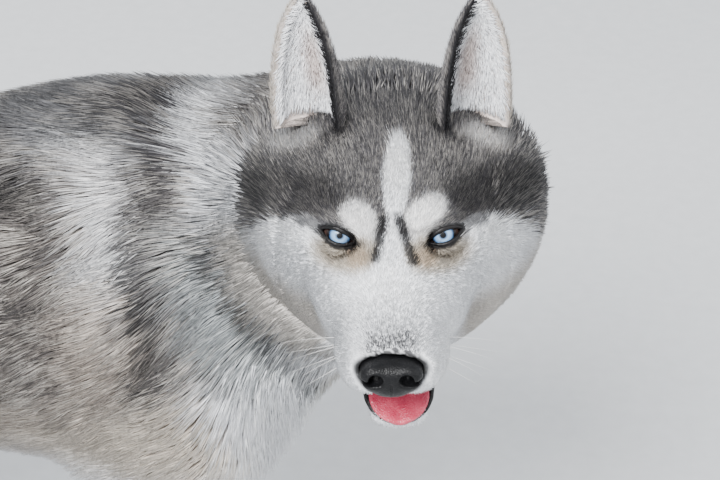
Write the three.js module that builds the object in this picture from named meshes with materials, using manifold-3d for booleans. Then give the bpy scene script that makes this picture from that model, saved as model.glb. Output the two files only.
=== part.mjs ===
// A life-size siberian husky, standing, with its head turned to its right.
// Millimetres, +Z up, the dog's nose end towards +X and its left side towards +Y.
import * as THREE from "three";
import { mergeVertices } from "three/addons/utils/BufferGeometryUtils.js";
import Module from "manifold-3d";

const wasm = await Module();
wasm.setup();

const { clamp, degToRad, lerp, mapLinear, smoothstep } = THREE.MathUtils;
const V = (x, y, z) => new THREE.Vector3(x, y, z);
const GAP = 0.35;
const GRID = 0.002;
const SIDES = { left: 1, right: -1 };

// Driving dimensions of the dog
const WITHERS = 582;
const CHEST_DEPTH = 306;
const CHEST_WIDTH = 238;
const TRUNK = { chestX: 116, ribsX: -6, loinX: -118, rumpX: -212 };
const HEAD = { x: 314, y: -176, z: 592, yaw: -86, pitch: 0, roll: 1 };
const EYE = { apart: 66, radius: 11.5, forward: -6, high: -1, outward: 11, upward: 24 };
const LIDS = { thick: 2.4, tall: 18, long: 29, slant: 18 };
const MUZZLE_TIP = 80;
const NOSE = { x: 86, z: -44, width: 40, height: 30, depth: 26, tilt: 0.12 };
const JAW = {
  hinge: V(-42, 0, -26),
  open: 11,
  aside: 2.5,
  z: -76,
  width: 64,
  chinWidth: 43,
  height: 25,
  length: 72,
};
const TONGUE = { width: 40, root: 14, length: 69, thickness: 9, z: -63, droop: 3, groove: 1.6 };
const EAR = { x: -74, y: 51, z: 40, height: 98, base: 49, wall: 5.5, splay: 3, outward: 24, lean: 2 };
const FORE = {
  withers: V(176, 84, 500),
  shoulder: V(186, 84, 376),
  elbow: V(128, 82, 306),
  wrist: V(146, 73, 124),
  fetlock: V(158, 71, 66),
  paw: V(181, 71, 24),
};
const HIND = {
  croup: V(-222, 78, 540),
  hip: V(-214, 70, 428),
  stifle: V(-158, 84, 312),
  hock: V(-290, 72, 166),
  fetlock: V(-280, 71, 62),
  paw: V(-256, 72, 23),
};
const PAW = { length: 90, width: 62, height: 44, top: 62, toes: 4, toeLong: 21, toeWide: 9.5, toeTall: 17 };
const CLAW = { length: 15, radius: 3.2, sink: 7, height: 14, drop: 6 };
// How far the dense core of the long coat lies below the tips of its locks
const CORE_DEPTH = { ruff: 17, cheek: 12, breeches: 14 };
// The long coat's locks: length, width and thickness, and how deep the root goes into the core
const LOCKS = {
  ruff: { length: 96, width: 52, thick: 7, sunk: 9 },
  chest: { length: 84, width: 46, thick: 7, sunk: 9 },
  cheek: { length: 52, width: 38, thick: 5, sunk: 6 },
  breeches: { length: 86, width: 48, thick: 6, sunk: 8 },
  brush: { length: 118, width: 56, thick: 7, sunk: 8 },
};
const SEED = 5;

// A smooth curve through a few points, read at its first value
const through = (...points) => (x) => {
  const last = points.length - 1;
  const found = points.findIndex((p) => p[0] > x);
  const i = Math.min(last, Math.max(1, found < 0 ? last : found));
  const slope = (k) => {
    const a = points[Math.max(0, k - 1)];
    const b = points[Math.min(last, k + 1)];
    return (b[1] - a[1]) / (b[0] - a[0]);
  };
  const [x0, y0] = points[i - 1];
  const [x1, y1] = points[i];
  const t = Math.min(1, Math.max(0, (x - x0) / (x1 - x0)));
  const rise = (t * t * t - 2 * t * t + t) * slope(i - 1) + (t * t * t - t * t) * slope(i);
  return y0 + (y1 - y0) * t * t * (3 - 2 * t) + rise * (x1 - x0);
};

// Forms: each is a function giving about how far a point lies outside a smooth shape
const ball = (centre, radii, turn = null) => {
  const back = turn ? new THREE.Matrix4().makeRotationFromEuler(turn).invert() : null;
  return (p) => {
    const q = V(p.x - centre.x, p.y - centre.y, p.z - centre.z);
    if (back) q.applyMatrix4(back);
    const k0 = Math.hypot(q.x / radii.x, q.y / radii.y, q.z / radii.z);
    const k1 = Math.hypot(q.x / radii.x ** 2, q.y / radii.y ** 2, q.z / radii.z ** 2);
    return k1 < 1e-9 ? -Math.min(radii.x, radii.y, radii.z) : (k0 * (k0 - 1)) / k1;
  };
};

// A tapered round limb from a to b
const limb = (a, b, ra, rb) => {
  const axis = b.clone().sub(a);
  const long = axis.lengthSq();
  return (p) => {
    const q = V(p.x - a.x, p.y - a.y, p.z - a.z);
    const t = clamp(q.dot(axis) / long, 0, 1);
    return q.addScaledVector(axis, -t).length() - (ra + (rb - ra) * t);
  };
};

// A round body of changing radius along a curve, as a chain of limbs
function alongCurve(curve, radius, steps) {
  const links = Array.from({ length: steps }, (_, i) => {
    const [t0, t1] = [i / steps, (i + 1) / steps];
    return limb(curve.getPoint(t0), curve.getPoint(t1), radius(t0), radius(t1));
  });
  return (p) => Math.min(...links.map((form) => form(p)));
}

// Joins forms with a fillet of about the given size
const join = (fillet, ...forms) => (p) => {
  let d = forms[0](p);
  for (let i = 1; i < forms.length; i++) {
    const e = forms[i](p);
    const h = Math.max(fillet - Math.abs(d - e), 0) / fillet;
    d = Math.min(d, e) - h * h * fillet * 0.25;
  }
  return d;
};

const mirrored = (v, side) => V(v.x, v.y * side, v.z);

// Head, in its own frame: origin midway between the eyes, +X to the nose
const eyeCentre = (side) => V(EYE.forward, (EYE.apart / 2) * side, EYE.high);
// Its sections along X: half width, top, bottom, and the height at which it is widest
const NAPE = -130;
const HEAD_SECTION = {
  half: through([NAPE, 93], [-100, 99], [-75, 96], [-50, 84], [-25, 65], [-8, 52], [8, 43], [22, 38], [80, 30]),
  top: through([NAPE, 46], [-75, 49], [-50, 45], [-25, 32], [-8, 16], [8, -5], [22, -13], [80, -28]),
  bottom: through([NAPE, -112], [-75, -112], [-50, -106], [-25, -95], [-8, -86], [8, -76], [80, -64]),
  widest: through([NAPE, -12], [-75, -24], [-25, -30], [8, -38], [22, -44], [80, -47]),
};
const sectionForm = (p) => {
  const x = clamp(p.x, NAPE, MUZZLE_TIP);
  const half = HEAD_SECTION.half(x);
  const widest = HEAD_SECTION.widest(x);
  const tall = p.z > widest ? HEAD_SECTION.top(x) - widest : widest - HEAD_SECTION.bottom(x);
  const square = clamp(2 + (x - 5) / 60, 2, 3);
  const k = (Math.abs(p.y / half) ** square + Math.abs((p.z - widest) / tall) ** square) ** (1 / square);
  return (Math.hypot(k, (p.x - x) / 13) - 1) * Math.min(half, tall) * 0.9;
};
const headForm = join(
  12,
  sectionForm,
  ball(V(-21, 24, 15), V(19, 19, 12)),
  ball(V(-21, -24, 15), V(19, 19, 12)),
);

const headPose = new THREE.Matrix4().compose(
  V(HEAD.x, HEAD.y, HEAD.z),
  new THREE.Quaternion().setFromEuler(
    new THREE.Euler(degToRad(HEAD.roll), degToRad(-HEAD.pitch), degToRad(HEAD.yaw), "ZYX"),
  ),
  V(1, 1, 1),
);
const headBack = headPose.clone().invert();
const fromHead = (v) => v.clone().applyMatrix4(headPose);

// Neck, bending from the chest to the back of the head
const neckLine = new THREE.CatmullRomCurve3([
  V(92, 0, 440),
  V(184, 4, 463),
  V(262, -16, 510),
  fromHead(V(-124, 4, -48)),
  fromHead(V(-66, 0, -36)),
  fromHead(V(-30, 0, -34)),
]);
const neckRadius = through([0, 124], [0.4, 109], [0.65, 95], [0.83, 81], [1, 56]);
const neckForm = alongCurve(neckLine, neckRadius, 10);

const trunkForm = join(
  44,
  ball(V(TRUNK.chestX, 0, WITHERS - 158), V(152, CHEST_WIDTH / 2, CHEST_DEPTH / 2)),
  ball(V(TRUNK.chestX - 12, 0, WITHERS - 46), V(96, 62, 44)),
  ball(V(TRUNK.ribsX, 0, WITHERS - 156), V(150, CHEST_WIDTH / 2 - 4, CHEST_DEPTH / 2 - 14)),
  ball(V(TRUNK.loinX, 0, WITHERS - 132), V(130, 97, 104)),
  ball(V(TRUNK.rumpX, 0, WITHERS - 122), V(98, 96, 97)),
);

const shoulderForm = (side) =>
  join(
    40,
    ball(mirrored(V(160, 76, 408), side), V(66, 48, 104), new THREE.Euler(0, 0.32, 0)),
    limb(mirrored(FORE.shoulder, side), mirrored(FORE.elbow, side), 54, 42),
  );
const foreForm = (side) =>
  join(
    30,
    shoulderForm(side),
    limb(mirrored(FORE.elbow, side), mirrored(FORE.wrist, side), 39, 26),
    limb(mirrored(FORE.wrist, side), mirrored(FORE.fetlock, side), 26, 25),
    pawForm(FORE.paw, side),
  );
const haunchForm = (side) =>
  join(
    40,
    ball(mirrored(V(-204, 76, 410), side), V(88, 48, 112), new THREE.Euler(0, -0.2, 0)),
    limb(mirrored(HIND.hip, side), mirrored(HIND.stifle, side), 66, 50),
  );
const hindForm = (side) =>
  join(
    30,
    haunchForm(side),
    limb(mirrored(HIND.stifle, side), mirrored(HIND.hock, side), 50, 26),
    ball(mirrored(V(-302, 80, 172), side), V(16, 15, 26)),
    limb(mirrored(HIND.hock, side), mirrored(HIND.fetlock, side), 26, 25),
    pawForm(HIND.paw, side),
  );

// A paw: a pad and four arched toes fanned across its front
const toeCentre = (paw, side, i) => {
  const across = (i - (PAW.toes - 1) / 2) / ((PAW.toes - 1) / 2);
  const ahead = PAW.length * (0.33 - 0.13 * across * across);
  return V(paw.x + ahead, (paw.y + across * PAW.width * 0.36) * side, PAW.toeTall);
};
function pawForm(paw, side) {
  const toes = Array.from({ length: PAW.toes }, (_, i) =>
    ball(toeCentre(paw, side, i), V(PAW.toeLong, PAW.toeWide, PAW.toeTall)),
  );
  return join(5, ball(mirrored(paw, side), V(PAW.length * 0.42, PAW.width / 2, PAW.height / 2)), ...toes);
}

const tailLine = new THREE.CatmullRomCurve3([
  V(-284, 0, 514),
  V(-338, 2, 494),
  V(-384, 4, 436),
  V(-402, 4, 360),
  V(-408, 0, 284),
  V(-428, -6, 218),
]);
const tailRadius = through([0, 38], [0.2, 46], [0.5, 57], [0.8, 44], [1, 12]);
const tailCoreRadius = through([0, 38], [0.2, 41], [0.5, 38], [0.8, 27], [1, 7]);

const tailForm = alongCurve(tailLine, tailRadius, 16);
const tailCore = alongCurve(tailLine, tailCoreRadius, 16);

const torsoForm = join(
  46,
  trunkForm,
  neckForm,
  shoulderForm(1),
  shoulderForm(-1),
  haunchForm(1),
  haunchForm(-1),
  tailCore,
);
const neckAndHead = (p) => {
  const q = p.clone().applyMatrix4(headBack);
  return join(34, neckForm, () => headForm(q))(p);
};
const legForms = {
  fore: { 1: foreForm(1), "-1": foreForm(-1) },
  hind: { 1: hindForm(1), "-1": hindForm(-1) },
};

// Where the parts meet
const NECK_CUT = { point: V(206, 0, 500), normal: V(0.86, -0.3, 0.48).normalize() };
const HEAD_CUT = {
  point: fromHead(V(-100, 0, 10)),
  normal: V(1, 0.36, 0.42).transformDirection(headPose),
};
const TAIL_CUT = { point: V(-302, 0, 505), normal: V(-0.96, 0, -0.28).normalize() };
const BRUSH_CUT = { point: tailLine.getPoint(0.36), normal: tailLine.getTangent(0.36) };
const THIGH_CUT = { point: V(-180, 80, 262), normal: V(-0.3, 0, 1).normalize() };
const FORE_SPACE = { at: V(158, 128, 356), radii: V(88, 100, 118), turn: new THREE.Euler(0, 0.3, 0) };
const HIND_SPACE = { at: V(-204, 122, 388), radii: V(112, 108, 134), turn: new THREE.Euler(0, -0.2, 0) };
const past = (cut, p) => p.clone().sub(cut.point).dot(cut.normal);

// How far the core lies inside the coat's outer form: most under the ruff, the cheeks and the breeches
function coreDepth(p) {
  const q = p.clone().applyMatrix4(headBack);
  const shoulder = Math.min(
    ...[1, -1].map((side) => ball(mirrored(FORE_SPACE.at, side), FORE_SPACE.radii, FORE_SPACE.turn)(p)),
  );
  const high = smoothstep(p.z, 390, 460);
  const fromTrunk = smoothstep(past(NECK_CUT, p), lerp(-90, 0, high), lerp(10, 60, high));
  const ruff = fromTrunk * smoothstep(shoulder, 0, 40) * smoothstep(-past(HEAD_CUT, p), 2, 44);
  const cheek = smoothstep(-q.x, 22, 50) * smoothstep(Math.abs(q.y), 40, 66) * smoothstep(24 - q.z, 0, 26);
  const rear = smoothstep(-p.x, 226, 266) * smoothstep(450 - p.z, 0, 60) * smoothstep(p.z, 262, 300);
  return Math.max(
    CORE_DEPTH.ruff * ruff,
    CORE_DEPTH.cheek * cheek * smoothstep(past(HEAD_CUT, p), -60, 0),
    CORE_DEPTH.breeches * rear,
  );
}
const coreOf = (form) => (p) => form(p) + coreDepth(p);

// Solids
function solidOf(geometry) {
  const bare = geometry.clone();
  bare.deleteAttribute("normal");
  bare.deleteAttribute("uv");
  const merged = mergeVertices(bare, 1e-3);
  return new wasm.Manifold(
    new wasm.Mesh({
      numProp: 3,
      vertProperties: new Float32Array(merged.attributes.position.array),
      triVerts: new Uint32Array(merged.index.array),
    }),
  );
}

function geometryOf(solid) {
  const mesh = solid.getMesh();
  return new THREE.BufferGeometry()
    .setAttribute("position", new THREE.BufferAttribute(mesh.vertProperties, 3))
    .setIndex(new THREE.BufferAttribute(mesh.triVerts, 1));
}

// The largest closed surface, which drops loose scraps and fills sealed hollows. Its points are drawn to a
// fine grid first, so that the slivers left where locks cross close up.
function largestOf(solid) {
  const geometry = geometryOf(solid);
  const { array } = geometry.attributes.position;
  array.forEach((v, i) => (array[i] = Math.round(v / GRID) * GRID));
  return solidOf(geometry)
    .decompose()
    .reduce((a, b) => (b.volume() > a.volume() ? b : a));
}

// The distance from a point inside a form to its surface along a direction
function reach(form, from, along, most) {
  let low = 0;
  let high = 2;
  const at = (t) => form(from.clone().addScaledVector(along, t));
  while (high < most && at(high) < 0) {
    low = high;
    high += Math.max(2, -at(high) * 0.7);
  }
  if (high >= most) return most;
  for (let i = 0; i < 18; i++) {
    const middle = (low + high) / 2;
    if (at(middle) < 0) low = middle;
    else high = middle;
  }
  return high;
}

// A closed shell round a line of stations, each { at, ahead, across, up }: every ring's points are found
// by reaching out from its station to the form's surface, and a domed end swings its rings round to the
// axis. Crowding, from 0 to 1, draws a ring's points together on the side that across points to.
function shell(form, stations, around, { startDome = 0, endDome = 0, most = 400, crowding = 0 } = {}) {
  const rings = [];
  const ringAt = (s, lean) => {
    const ring = [];
    for (let j = 0; j < around; j++) {
      const even = (2 * Math.PI * j) / around;
      const a = even - crowding * Math.sin(even);
      const out = s.across.clone().multiplyScalar(Math.cos(a)).addScaledVector(s.up, Math.sin(a));
      const along = out.multiplyScalar(Math.cos(lean)).addScaledVector(s.ahead, Math.sin(lean)).normalize();
      ring.push(s.at.clone().addScaledVector(along, reach(form, s.at, along, most)));
    }
    rings.push(ring);
  };
  const first = stations[0];
  const last = stations[stations.length - 1];
  for (let i = startDome - 1; i > 0; i--) ringAt(first, (-Math.PI / 2) * (i / startDome));
  stations.forEach((s) => ringAt(s, 0));
  for (let i = 1; i < endDome; i++) ringAt(last, (Math.PI / 2) * (i / endDome));
  const pole = ({ at }, along) => at.clone().addScaledVector(along, reach(form, at, along, most));
  return ringsToSolid(rings, [
    startDome ? pole(first, first.ahead.clone().negate()) : first.at.clone(),
    endDome ? pole(last, last.ahead) : last.at.clone(),
  ]);
}

function ringsToSolid(rings, poles) {
  const around = rings[0].length;
  const points = [...rings.flat(), ...poles];
  const index = [];
  for (let i = 0; i + 1 < rings.length; i++) {
    for (let j = 0; j < around; j++) {
      const a = i * around + j;
      const b = i * around + ((j + 1) % around);
      index.push(a, b, a + around, b, b + around, a + around);
    }
  }
  const start = rings.length * around;
  for (let j = 0; j < around; j++) {
    const k = (j + 1) % around;
    index.push(start, k, j);
    const base = (rings.length - 1) * around;
    index.push(start + 1, base + j, base + k);
  }
  const geometry = new THREE.BufferGeometry().setFromPoints(points).setIndex(index);
  const solid = solidOf(geometry);
  if (solid.volume() > 0) return solid;
  for (let i = 0; i < index.length; i += 3) [index[i + 1], index[i + 2]] = [index[i + 2], index[i + 1]];
  return solidOf(geometry.setIndex(index));
}

const levelStations = (points) =>
  points.map((at) => ({ at, ahead: V(0, 0, 1), across: V(1, 0, 0), up: V(0, 1, 0) }));

const curveStations = (curve, hint, t0, t1, count) =>
  Array.from({ length: count + 1 }, (_, i) => {
    const t = lerp(t0, t1, i / count);
    const ahead = curve.getTangent(t);
    const across = hint.clone().cross(ahead).normalize();
    return { at: curve.getPoint(t), ahead, across, up: ahead.clone().cross(across) };
  });

// A box whose -Z face lies on the plane through a point, on the side that the normal points to
function slab(point, normal, size = 900) {
  const geometry = new THREE.BoxGeometry(size, size, size).translate(0, 0, size / 2);
  geometry.applyQuaternion(new THREE.Quaternion().setFromUnitVectors(V(0, 0, 1), normal));
  return solidOf(geometry.translate(point.x, point.y, point.z));
}

const shifted = (cut, by) => cut.point.clone().addScaledVector(cut.normal, by);

function sphereSolid(centre, radii, turn = new THREE.Euler(), around = 16, rings = 10) {
  const geometry = new THREE.SphereGeometry(1, around, rings).scale(radii.x, radii.y, radii.z);
  geometry.applyQuaternion(new THREE.Quaternion().setFromEuler(turn));
  return solidOf(geometry.translate(centre.x, centre.y, centre.z));
}

function boxSolid(low, high) {
  const size = high.clone().sub(low);
  const middle = low.clone().add(high).multiplyScalar(0.5);
  return solidOf(new THREE.BoxGeometry(size.x, size.y, size.z).translate(middle.x, middle.y, middle.z));
}

// The space that a foreleg or a hind leg takes, with a rounded top over the shoulder or the haunch
function foreSpace(side, grow = 0) {
  const { at, radii, turn } = FORE_SPACE;
  const top = sphereSolid(mirrored(at, side), radii.clone().addScalar(grow), turn);
  const y = [(26 - grow) * side, 260 * side].sort((a, b) => a - b);
  return top.add(boxSolid(V(60 - grow, y[0], -20), V(280, y[1], 288 + grow)));
}

function hindSpace(side, grow = 0) {
  const { at, radii, turn } = HIND_SPACE;
  const top = sphereSolid(mirrored(at, side), radii.clone().addScalar(grow), turn);
  const y = [(0.2 - grow) * side, 260 * side].sort((a, b) => a - b);
  return top.add(boxSolid(V(-340 - grow, y[0], -20), V(-110 + grow, y[1], 292 + grow)));
}

// Seeded draws, the same on every run
let drawn = SEED;
function random(low = 0, high = 1) {
  drawn = (drawn * 1664525 + 1013904223) % 4294967296;
  return low + ((high - low) * drawn) / 4294967296;
}

function outwardOf(form, p) {
  const step = 1;
  const slope = (x, y, z) => form(V(p.x + x, p.y + y, p.z + z)) - form(V(p.x - x, p.y - y, p.z - z));
  return V(slope(step, 0, 0), slope(0, step, 0), slope(0, 0, step)).normalize();
}

// A flat, tapered lock. Its line is marched over the outer form along the coat's lie, bending as it goes,
// from a root sunk in the core to a tip at the outer form; its sections are flat triangles, ridge outwards.
const LOCK_RINGS = [
  { step: 0, wide: 0.66, thick: 1 },
  { step: 2, wide: 1, thick: 1 },
  { step: 4, wide: 0.72, thick: 0.7 },
];
const LOCK_STEPS = 6;
function lock(form, root, lie, kind, depth) {
  const length = kind.length * random(0.85, 1.12);
  const half = (kind.width / 2) * random(0.88, 1.12);
  const sway = random(-0.32, 0.32) / LOCK_STEPS;
  const lift = random(-3, 3);
  const sunk = depth + kind.sunk;
  const at = root.clone();
  const heading = lie.clone();
  const line = [];
  for (let i = 0; i <= LOCK_STEPS; i++) {
    const out = outwardOf(form, at);
    at.addScaledVector(out, -form(at));
    heading.addScaledVector(out, -heading.dot(out)).normalize().applyAxisAngle(out, sway);
    const t = i / LOCK_STEPS;
    const level = -sunk * (1 - t) ** 1.7 + lift * t * (1 - t) * 2;
    const middle = at.clone().addScaledVector(out, level);
    line.push({ middle, out, wide: out.clone().cross(heading) });
    at.addScaledVector(heading, length / LOCK_STEPS);
  }
  const rings = LOCK_RINGS.map(({ step, wide, thick }) => {
    const { middle, out, wide: across } = line[step];
    return [
      middle.clone().addScaledVector(across, half * wide),
      middle.clone().addScaledVector(out, kind.thick * thick),
      middle.clone().addScaledVector(across, -half * wide),
    ];
  });
  return ringsToSolid(rings, [line[0].middle, line[LOCK_STEPS].middle]);
}

// Locks rooted round a station, evenly over a turn with every root and lie varied a little
function locksRound(form, station, { kind, count, lie, turn = 0, depth }) {
  const locks = [];
  for (let j = 0; j < count; j++) {
    const a = (2 * Math.PI * (j + turn + random(-0.14, 0.14))) / count;
    const along = station.across.clone().multiplyScalar(Math.cos(a));
    along.addScaledVector(station.up, Math.sin(a));
    const root = station.at.clone().addScaledVector(along, reach(form, station.at, along, 300));
    const drift = V(random(-1, 1), random(-1, 1), random(-1, 1)).multiplyScalar(0.12);
    locks.push(lock(form, root, lie.clone().add(drift), kind, depth(root)));
  }
  return locks;
}

const withLocks = (core, locks) => wasm.Manifold.union([core, ...locks]);

// Trunk
const alongX = (xs, z) =>
  xs.map((x) => ({ at: V(x, 0, z), ahead: V(1, 0, 0), across: V(0, 1, 0), up: V(0, 0, 1) }));

// Locks that hang down the front of the chest, below the ruff
function chestLocks() {
  const from = V(150, 0, 400);
  return [
    { rise: 0.02, turns: [-0.42, -0.14, 0.14, 0.42] },
    { rise: -0.36, turns: [-0.3, 0, 0.3] },
  ].flatMap(({ rise, turns }) =>
    turns.map((turn) => {
      const a = turn + random(-0.05, 0.05);
      const along = V(Math.cos(a), Math.sin(a), rise).normalize();
      const root = from.clone().addScaledVector(along, reach(torsoForm, from, along, 200));
      return lock(torsoForm, root, V(-0.35, 0, -1), LOCKS.chest, coreDepth(root));
    }),
  );
}

function torsoSolid() {
  const xs = [-248, -218, -182, -142, -98, -52, -6, 40, 82, 120, 154, 184, 212, 236];
  const core = shell(coreOf(torsoForm), alongX(xs, 462), 24, { startDome: 3, endDome: 3, most: 300 });
  let solid = withLocks(core, chestLocks());
  solid = solid.subtract(slab(shifted(NECK_CUT, -GAP), NECK_CUT.normal));
  solid = solid.subtract(slab(shifted(TAIL_CUT, -GAP), TAIL_CUT.normal));
  for (const side of Object.values(SIDES)) {
    solid = solid.subtract(foreSpace(side, GAP)).subtract(hindSpace(side, GAP));
  }
  return largestOf(solid);
}

// Stations where a curve crosses a fan of planes that turns from one cut to another about their common line
function fanStations(curve, from, to, count) {
  return Array.from({ length: count + 1 }, (_, i) => {
    const turn = i / count;
    let low = 0;
    let high = 1;
    for (let k = 0; k < 30; k++) {
      const middle = (low + high) / 2;
      const p = curve.getPoint(middle);
      if (lerp(past(from, p), past(to, p), turn) < 0) low = middle;
      else high = middle;
    }
    const ahead = from.normal.clone().lerp(to.normal, turn).normalize();
    const across = V(0, 0, 1).cross(ahead).normalize();
    return { at: curve.getPoint(low), ahead, across, up: ahead.clone().cross(across) };
  });
}

// Neck
function neckSolid() {
  const form = join(46, neckAndHead, trunkForm);
  const stations = fanStations(neckLine, NECK_CUT, HEAD_CUT, 9);
  const core = shell(coreOf(form), stations, 22, { most: 260 });
  const locks = [8, 5, 3].flatMap((at, row) => {
    const station = stations[at];
    const lie = station.ahead.clone().negate().add(V(0, 0, -0.35));
    return locksRound(form, station, { kind: LOCKS.ruff, count: 12, lie, turn: row / 2, depth: coreDepth });
  });
  const solid = withLocks(core, locks)
    .intersect(slab(NECK_CUT.point, NECK_CUT.normal))
    .subtract(slab(HEAD_CUT.point, HEAD_CUT.normal))
    .subtract(foreSpace(1, GAP))
    .subtract(foreSpace(-1, GAP));
  return largestOf(solid);
}

const parts = { torso: torsoSolid(), neck: neckSolid() };

// Legs
function legSlices(line, heights) {
  return heights.map((z) => {
    const i = line.findIndex((p, k) => k + 1 < line.length && line[k].z >= z && line[k + 1].z <= z);
    const [a, b] = i < 0 ? [line[0], line[0]] : [line[i], line[i + 1]];
    const t = a === b ? 0 : (a.z - z) / (a.z - b.z);
    return a.clone().lerp(b, t).setZ(z);
  });
}

function foreleg(side) {
  const line = Object.values(FORE).map((v) => mirrored(v, side));
  const heights = [486, 446, 410, 374, 340, 308, 276, 240, 200, 160, 124, 92, PAW.top];
  const form = join(46, trunkForm, neckForm, legForms.fore[side]);
  const solid = shell(form, levelStations(legSlices(line, heights)), 16, { most: 130 });
  return largestOf(solid.intersect(foreSpace(side)));
}

function hindleg(side) {
  const line = Object.values(HIND).map((v) => mirrored(v, side));
  const heights = [528, 500, 466, 430, 394, 358, 324, 292, 262, 234, 206, 182, 158, 126, 92, PAW.top];
  const form = join(46, trunkForm, legForms.hind[side]);
  return shell(coreOf(form), levelStations(legSlices(line, heights)), 16, { most: 140 });
}

// The breeches: locks down the back of a thigh, from near the tail to the hock
function breeches(side) {
  const form = join(46, trunkForm, legForms.hind[side]);
  const lie = V(-0.28, 0, -1);
  return [420, 372, 326].flatMap((z, row) =>
    [-0.28, 0.34].map((turn) => {
      const from = V(-238, 74 * side, z);
      const a = Math.PI - (turn + 0.18 * (row % 2) + random(-0.06, 0.06)) * side;
      const along = V(Math.cos(a), Math.sin(a), 0);
      const root = from.clone().addScaledVector(along, reach(form, from, along, 140));
      return lock(form, root, lie, LOCKS.breeches, coreDepth(root));
    }),
  );
}

function paw(form, centre, top, side) {
  const heights = [-3, 8, 18, 28, 42, PAW.top];
  const stations = levelStations(
    heights.map((z) => mirrored(centre.clone().lerp(top, smoothstep(z, 20, PAW.top)), side).setZ(z)),
  );
  const solid = shell(form, stations, 22, { most: 90, crowding: 0.62 });
  return largestOf(solid.intersect(boxSolid(V(-600, -300, 0), V(600, 300, PAW.top - GAP))));
}

// A claw: a short cone that curves down from inside the end of its toe
function claw(centre, side, i, grow = 0) {
  const toe = toeCentre(centre, side, i);
  const start = toe.x + PAW.toeLong - CLAW.sink - grow;
  const long = CLAW.length + 2 * grow;
  const steps = 3;
  const rings = Array.from({ length: steps }, (_, k) => {
    const t = k / steps;
    const radius = (CLAW.radius + grow) * (1 - t * t) ** 0.6;
    return Array.from({ length: 6 }, (_, j) => {
      const a = (Math.PI * j) / 3;
      const y = toe.y + radius * 0.8 * Math.cos(a);
      return V(start + t * long, y, CLAW.height - CLAW.drop * t * t + radius * 1.15 * Math.sin(a));
    });
  });
  const point = V(start + long, toe.y, CLAW.height - CLAW.drop);
  return ringsToSolid(rings, [V(start, toe.y, CLAW.height), point]);
}

function clawed(name, pawSolid, centre, side) {
  for (let i = 0; i < PAW.toes; i++) {
    parts[name.replace("paw", "claw") + "_" + (i + 1)] = claw(centre, side, i);
    pawSolid = pawSolid.subtract(claw(centre, side, i, GAP));
  }
  parts[name] = largestOf(pawSolid);
}

for (const [name, side] of Object.entries(SIDES)) {
  parts["foreleg_" + name] = foreleg(side);
  clawed("forepaw_" + name, paw(legForms.fore[side], FORE.paw, FORE.fetlock, side), FORE.paw, side);
  const leg = hindleg(side);
  const cut = { point: mirrored(THIGH_CUT.point, side), normal: THIGH_CUT.normal };
  parts["thigh_" + name] = largestOf(
    withLocks(leg, breeches(side)).intersect(hindSpace(side)).intersect(slab(cut.point, cut.normal)),
  );
  parts["shank_" + name] = largestOf(
    leg.intersect(hindSpace(side)).subtract(slab(shifted(cut, -GAP), cut.normal)),
  );
  clawed("hindpaw_" + name, paw(legForms.hind[side], HIND.paw, HIND.fetlock, side), HIND.paw, side);
}

// Tail: a core under a brush of long locks that lie along it to its tip
function tailSolid() {
  const stations = curveStations(tailLine, V(0, 1, 0), 0.02, 0.95, 12);
  const core = shell(join(24, tailCore, trunkForm), stations, 12, { endDome: 2, most: 100 });
  const form = join(24, tailForm, trunkForm);
  const locks = [1, 4, 7, 10].flatMap((at, row) => {
    const depth = (p) => Math.max(0, tailCore(p));
    const lie = stations[at].ahead;
    return locksRound(form, stations[at], { kind: LOCKS.brush, count: 4, lie, turn: row / 2, depth });
  });
  return withLocks(core, locks)
    .intersect(slab(TAIL_CUT.point, TAIL_CUT.normal))
    .subtract(hindSpace(1, GAP))
    .subtract(hindSpace(-1, GAP));
}
const wholeTail = tailSolid();
parts.tail_base = largestOf(wholeTail.subtract(slab(shifted(BRUSH_CUT, -GAP), BRUSH_CUT.normal)));
parts.tail_brush = largestOf(wholeTail.intersect(slab(BRUSH_CUT.point, BRUSH_CUT.normal)));

// Head, worked in its own frame
const headLocal = (p) => neckAndHead(p.clone().applyMatrix4(headPose));
const headDepth = (p) => coreDepth(p.clone().applyMatrix4(headPose));

function headShell(grow) {
  const xs = [-136, -118, -100, -84, -69, -56, -44, -33, -23, -14, -5, 4, 13, 24, 38, 54, 68, 80];
  const stations = alongX(xs, 0);
  for (const { at } of stations) at.z = mapLinear(clamp(at.x, -20, 30), -20, 30, -14, -44);
  return shell((p) => headLocal(p) + headDepth(p) - grow, stations, 28, { endDome: 3, most: 170 });
}

// The ruff of a cheek: locks that sweep back and down from behind the eye and the corner of the mouth
function cheekLocks(side) {
  const lie = V(-0.8, 0.1 * side, -0.6);
  return [-42, -66, -90].flatMap((x, row) =>
    [0.18, -0.22, -0.62, -1.02].map((turn) => {
      const a = turn + 0.2 * (row % 2) + random(-0.04, 0.04);
      const from = V(x, 0, -34);
      const along = V(0, Math.cos(a) * side, Math.sin(a));
      const root = from.clone().addScaledVector(along, reach(headLocal, from, along, 170));
      return lock(headLocal, root, lie, LOCKS.cheek, headDepth(root));
    }),
  );
}

// The direction that an eye looks in, and a frame whose X runs along the lids
function eyeFrame(side) {
  const out = degToRad(EYE.outward) * side;
  const gaze = V(Math.cos(out), Math.sin(out), Math.tan(degToRad(EYE.upward))).normalize();
  const level = V(0, 0, 1).cross(gaze).normalize();
  const slant = degToRad(LIDS.slant) * side;
  const along = level.clone().applyAxisAngle(gaze, slant);
  return new THREE.Matrix4().makeBasis(along, gaze.clone().cross(along), gaze).setPosition(eyeCentre(side));
}

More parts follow.
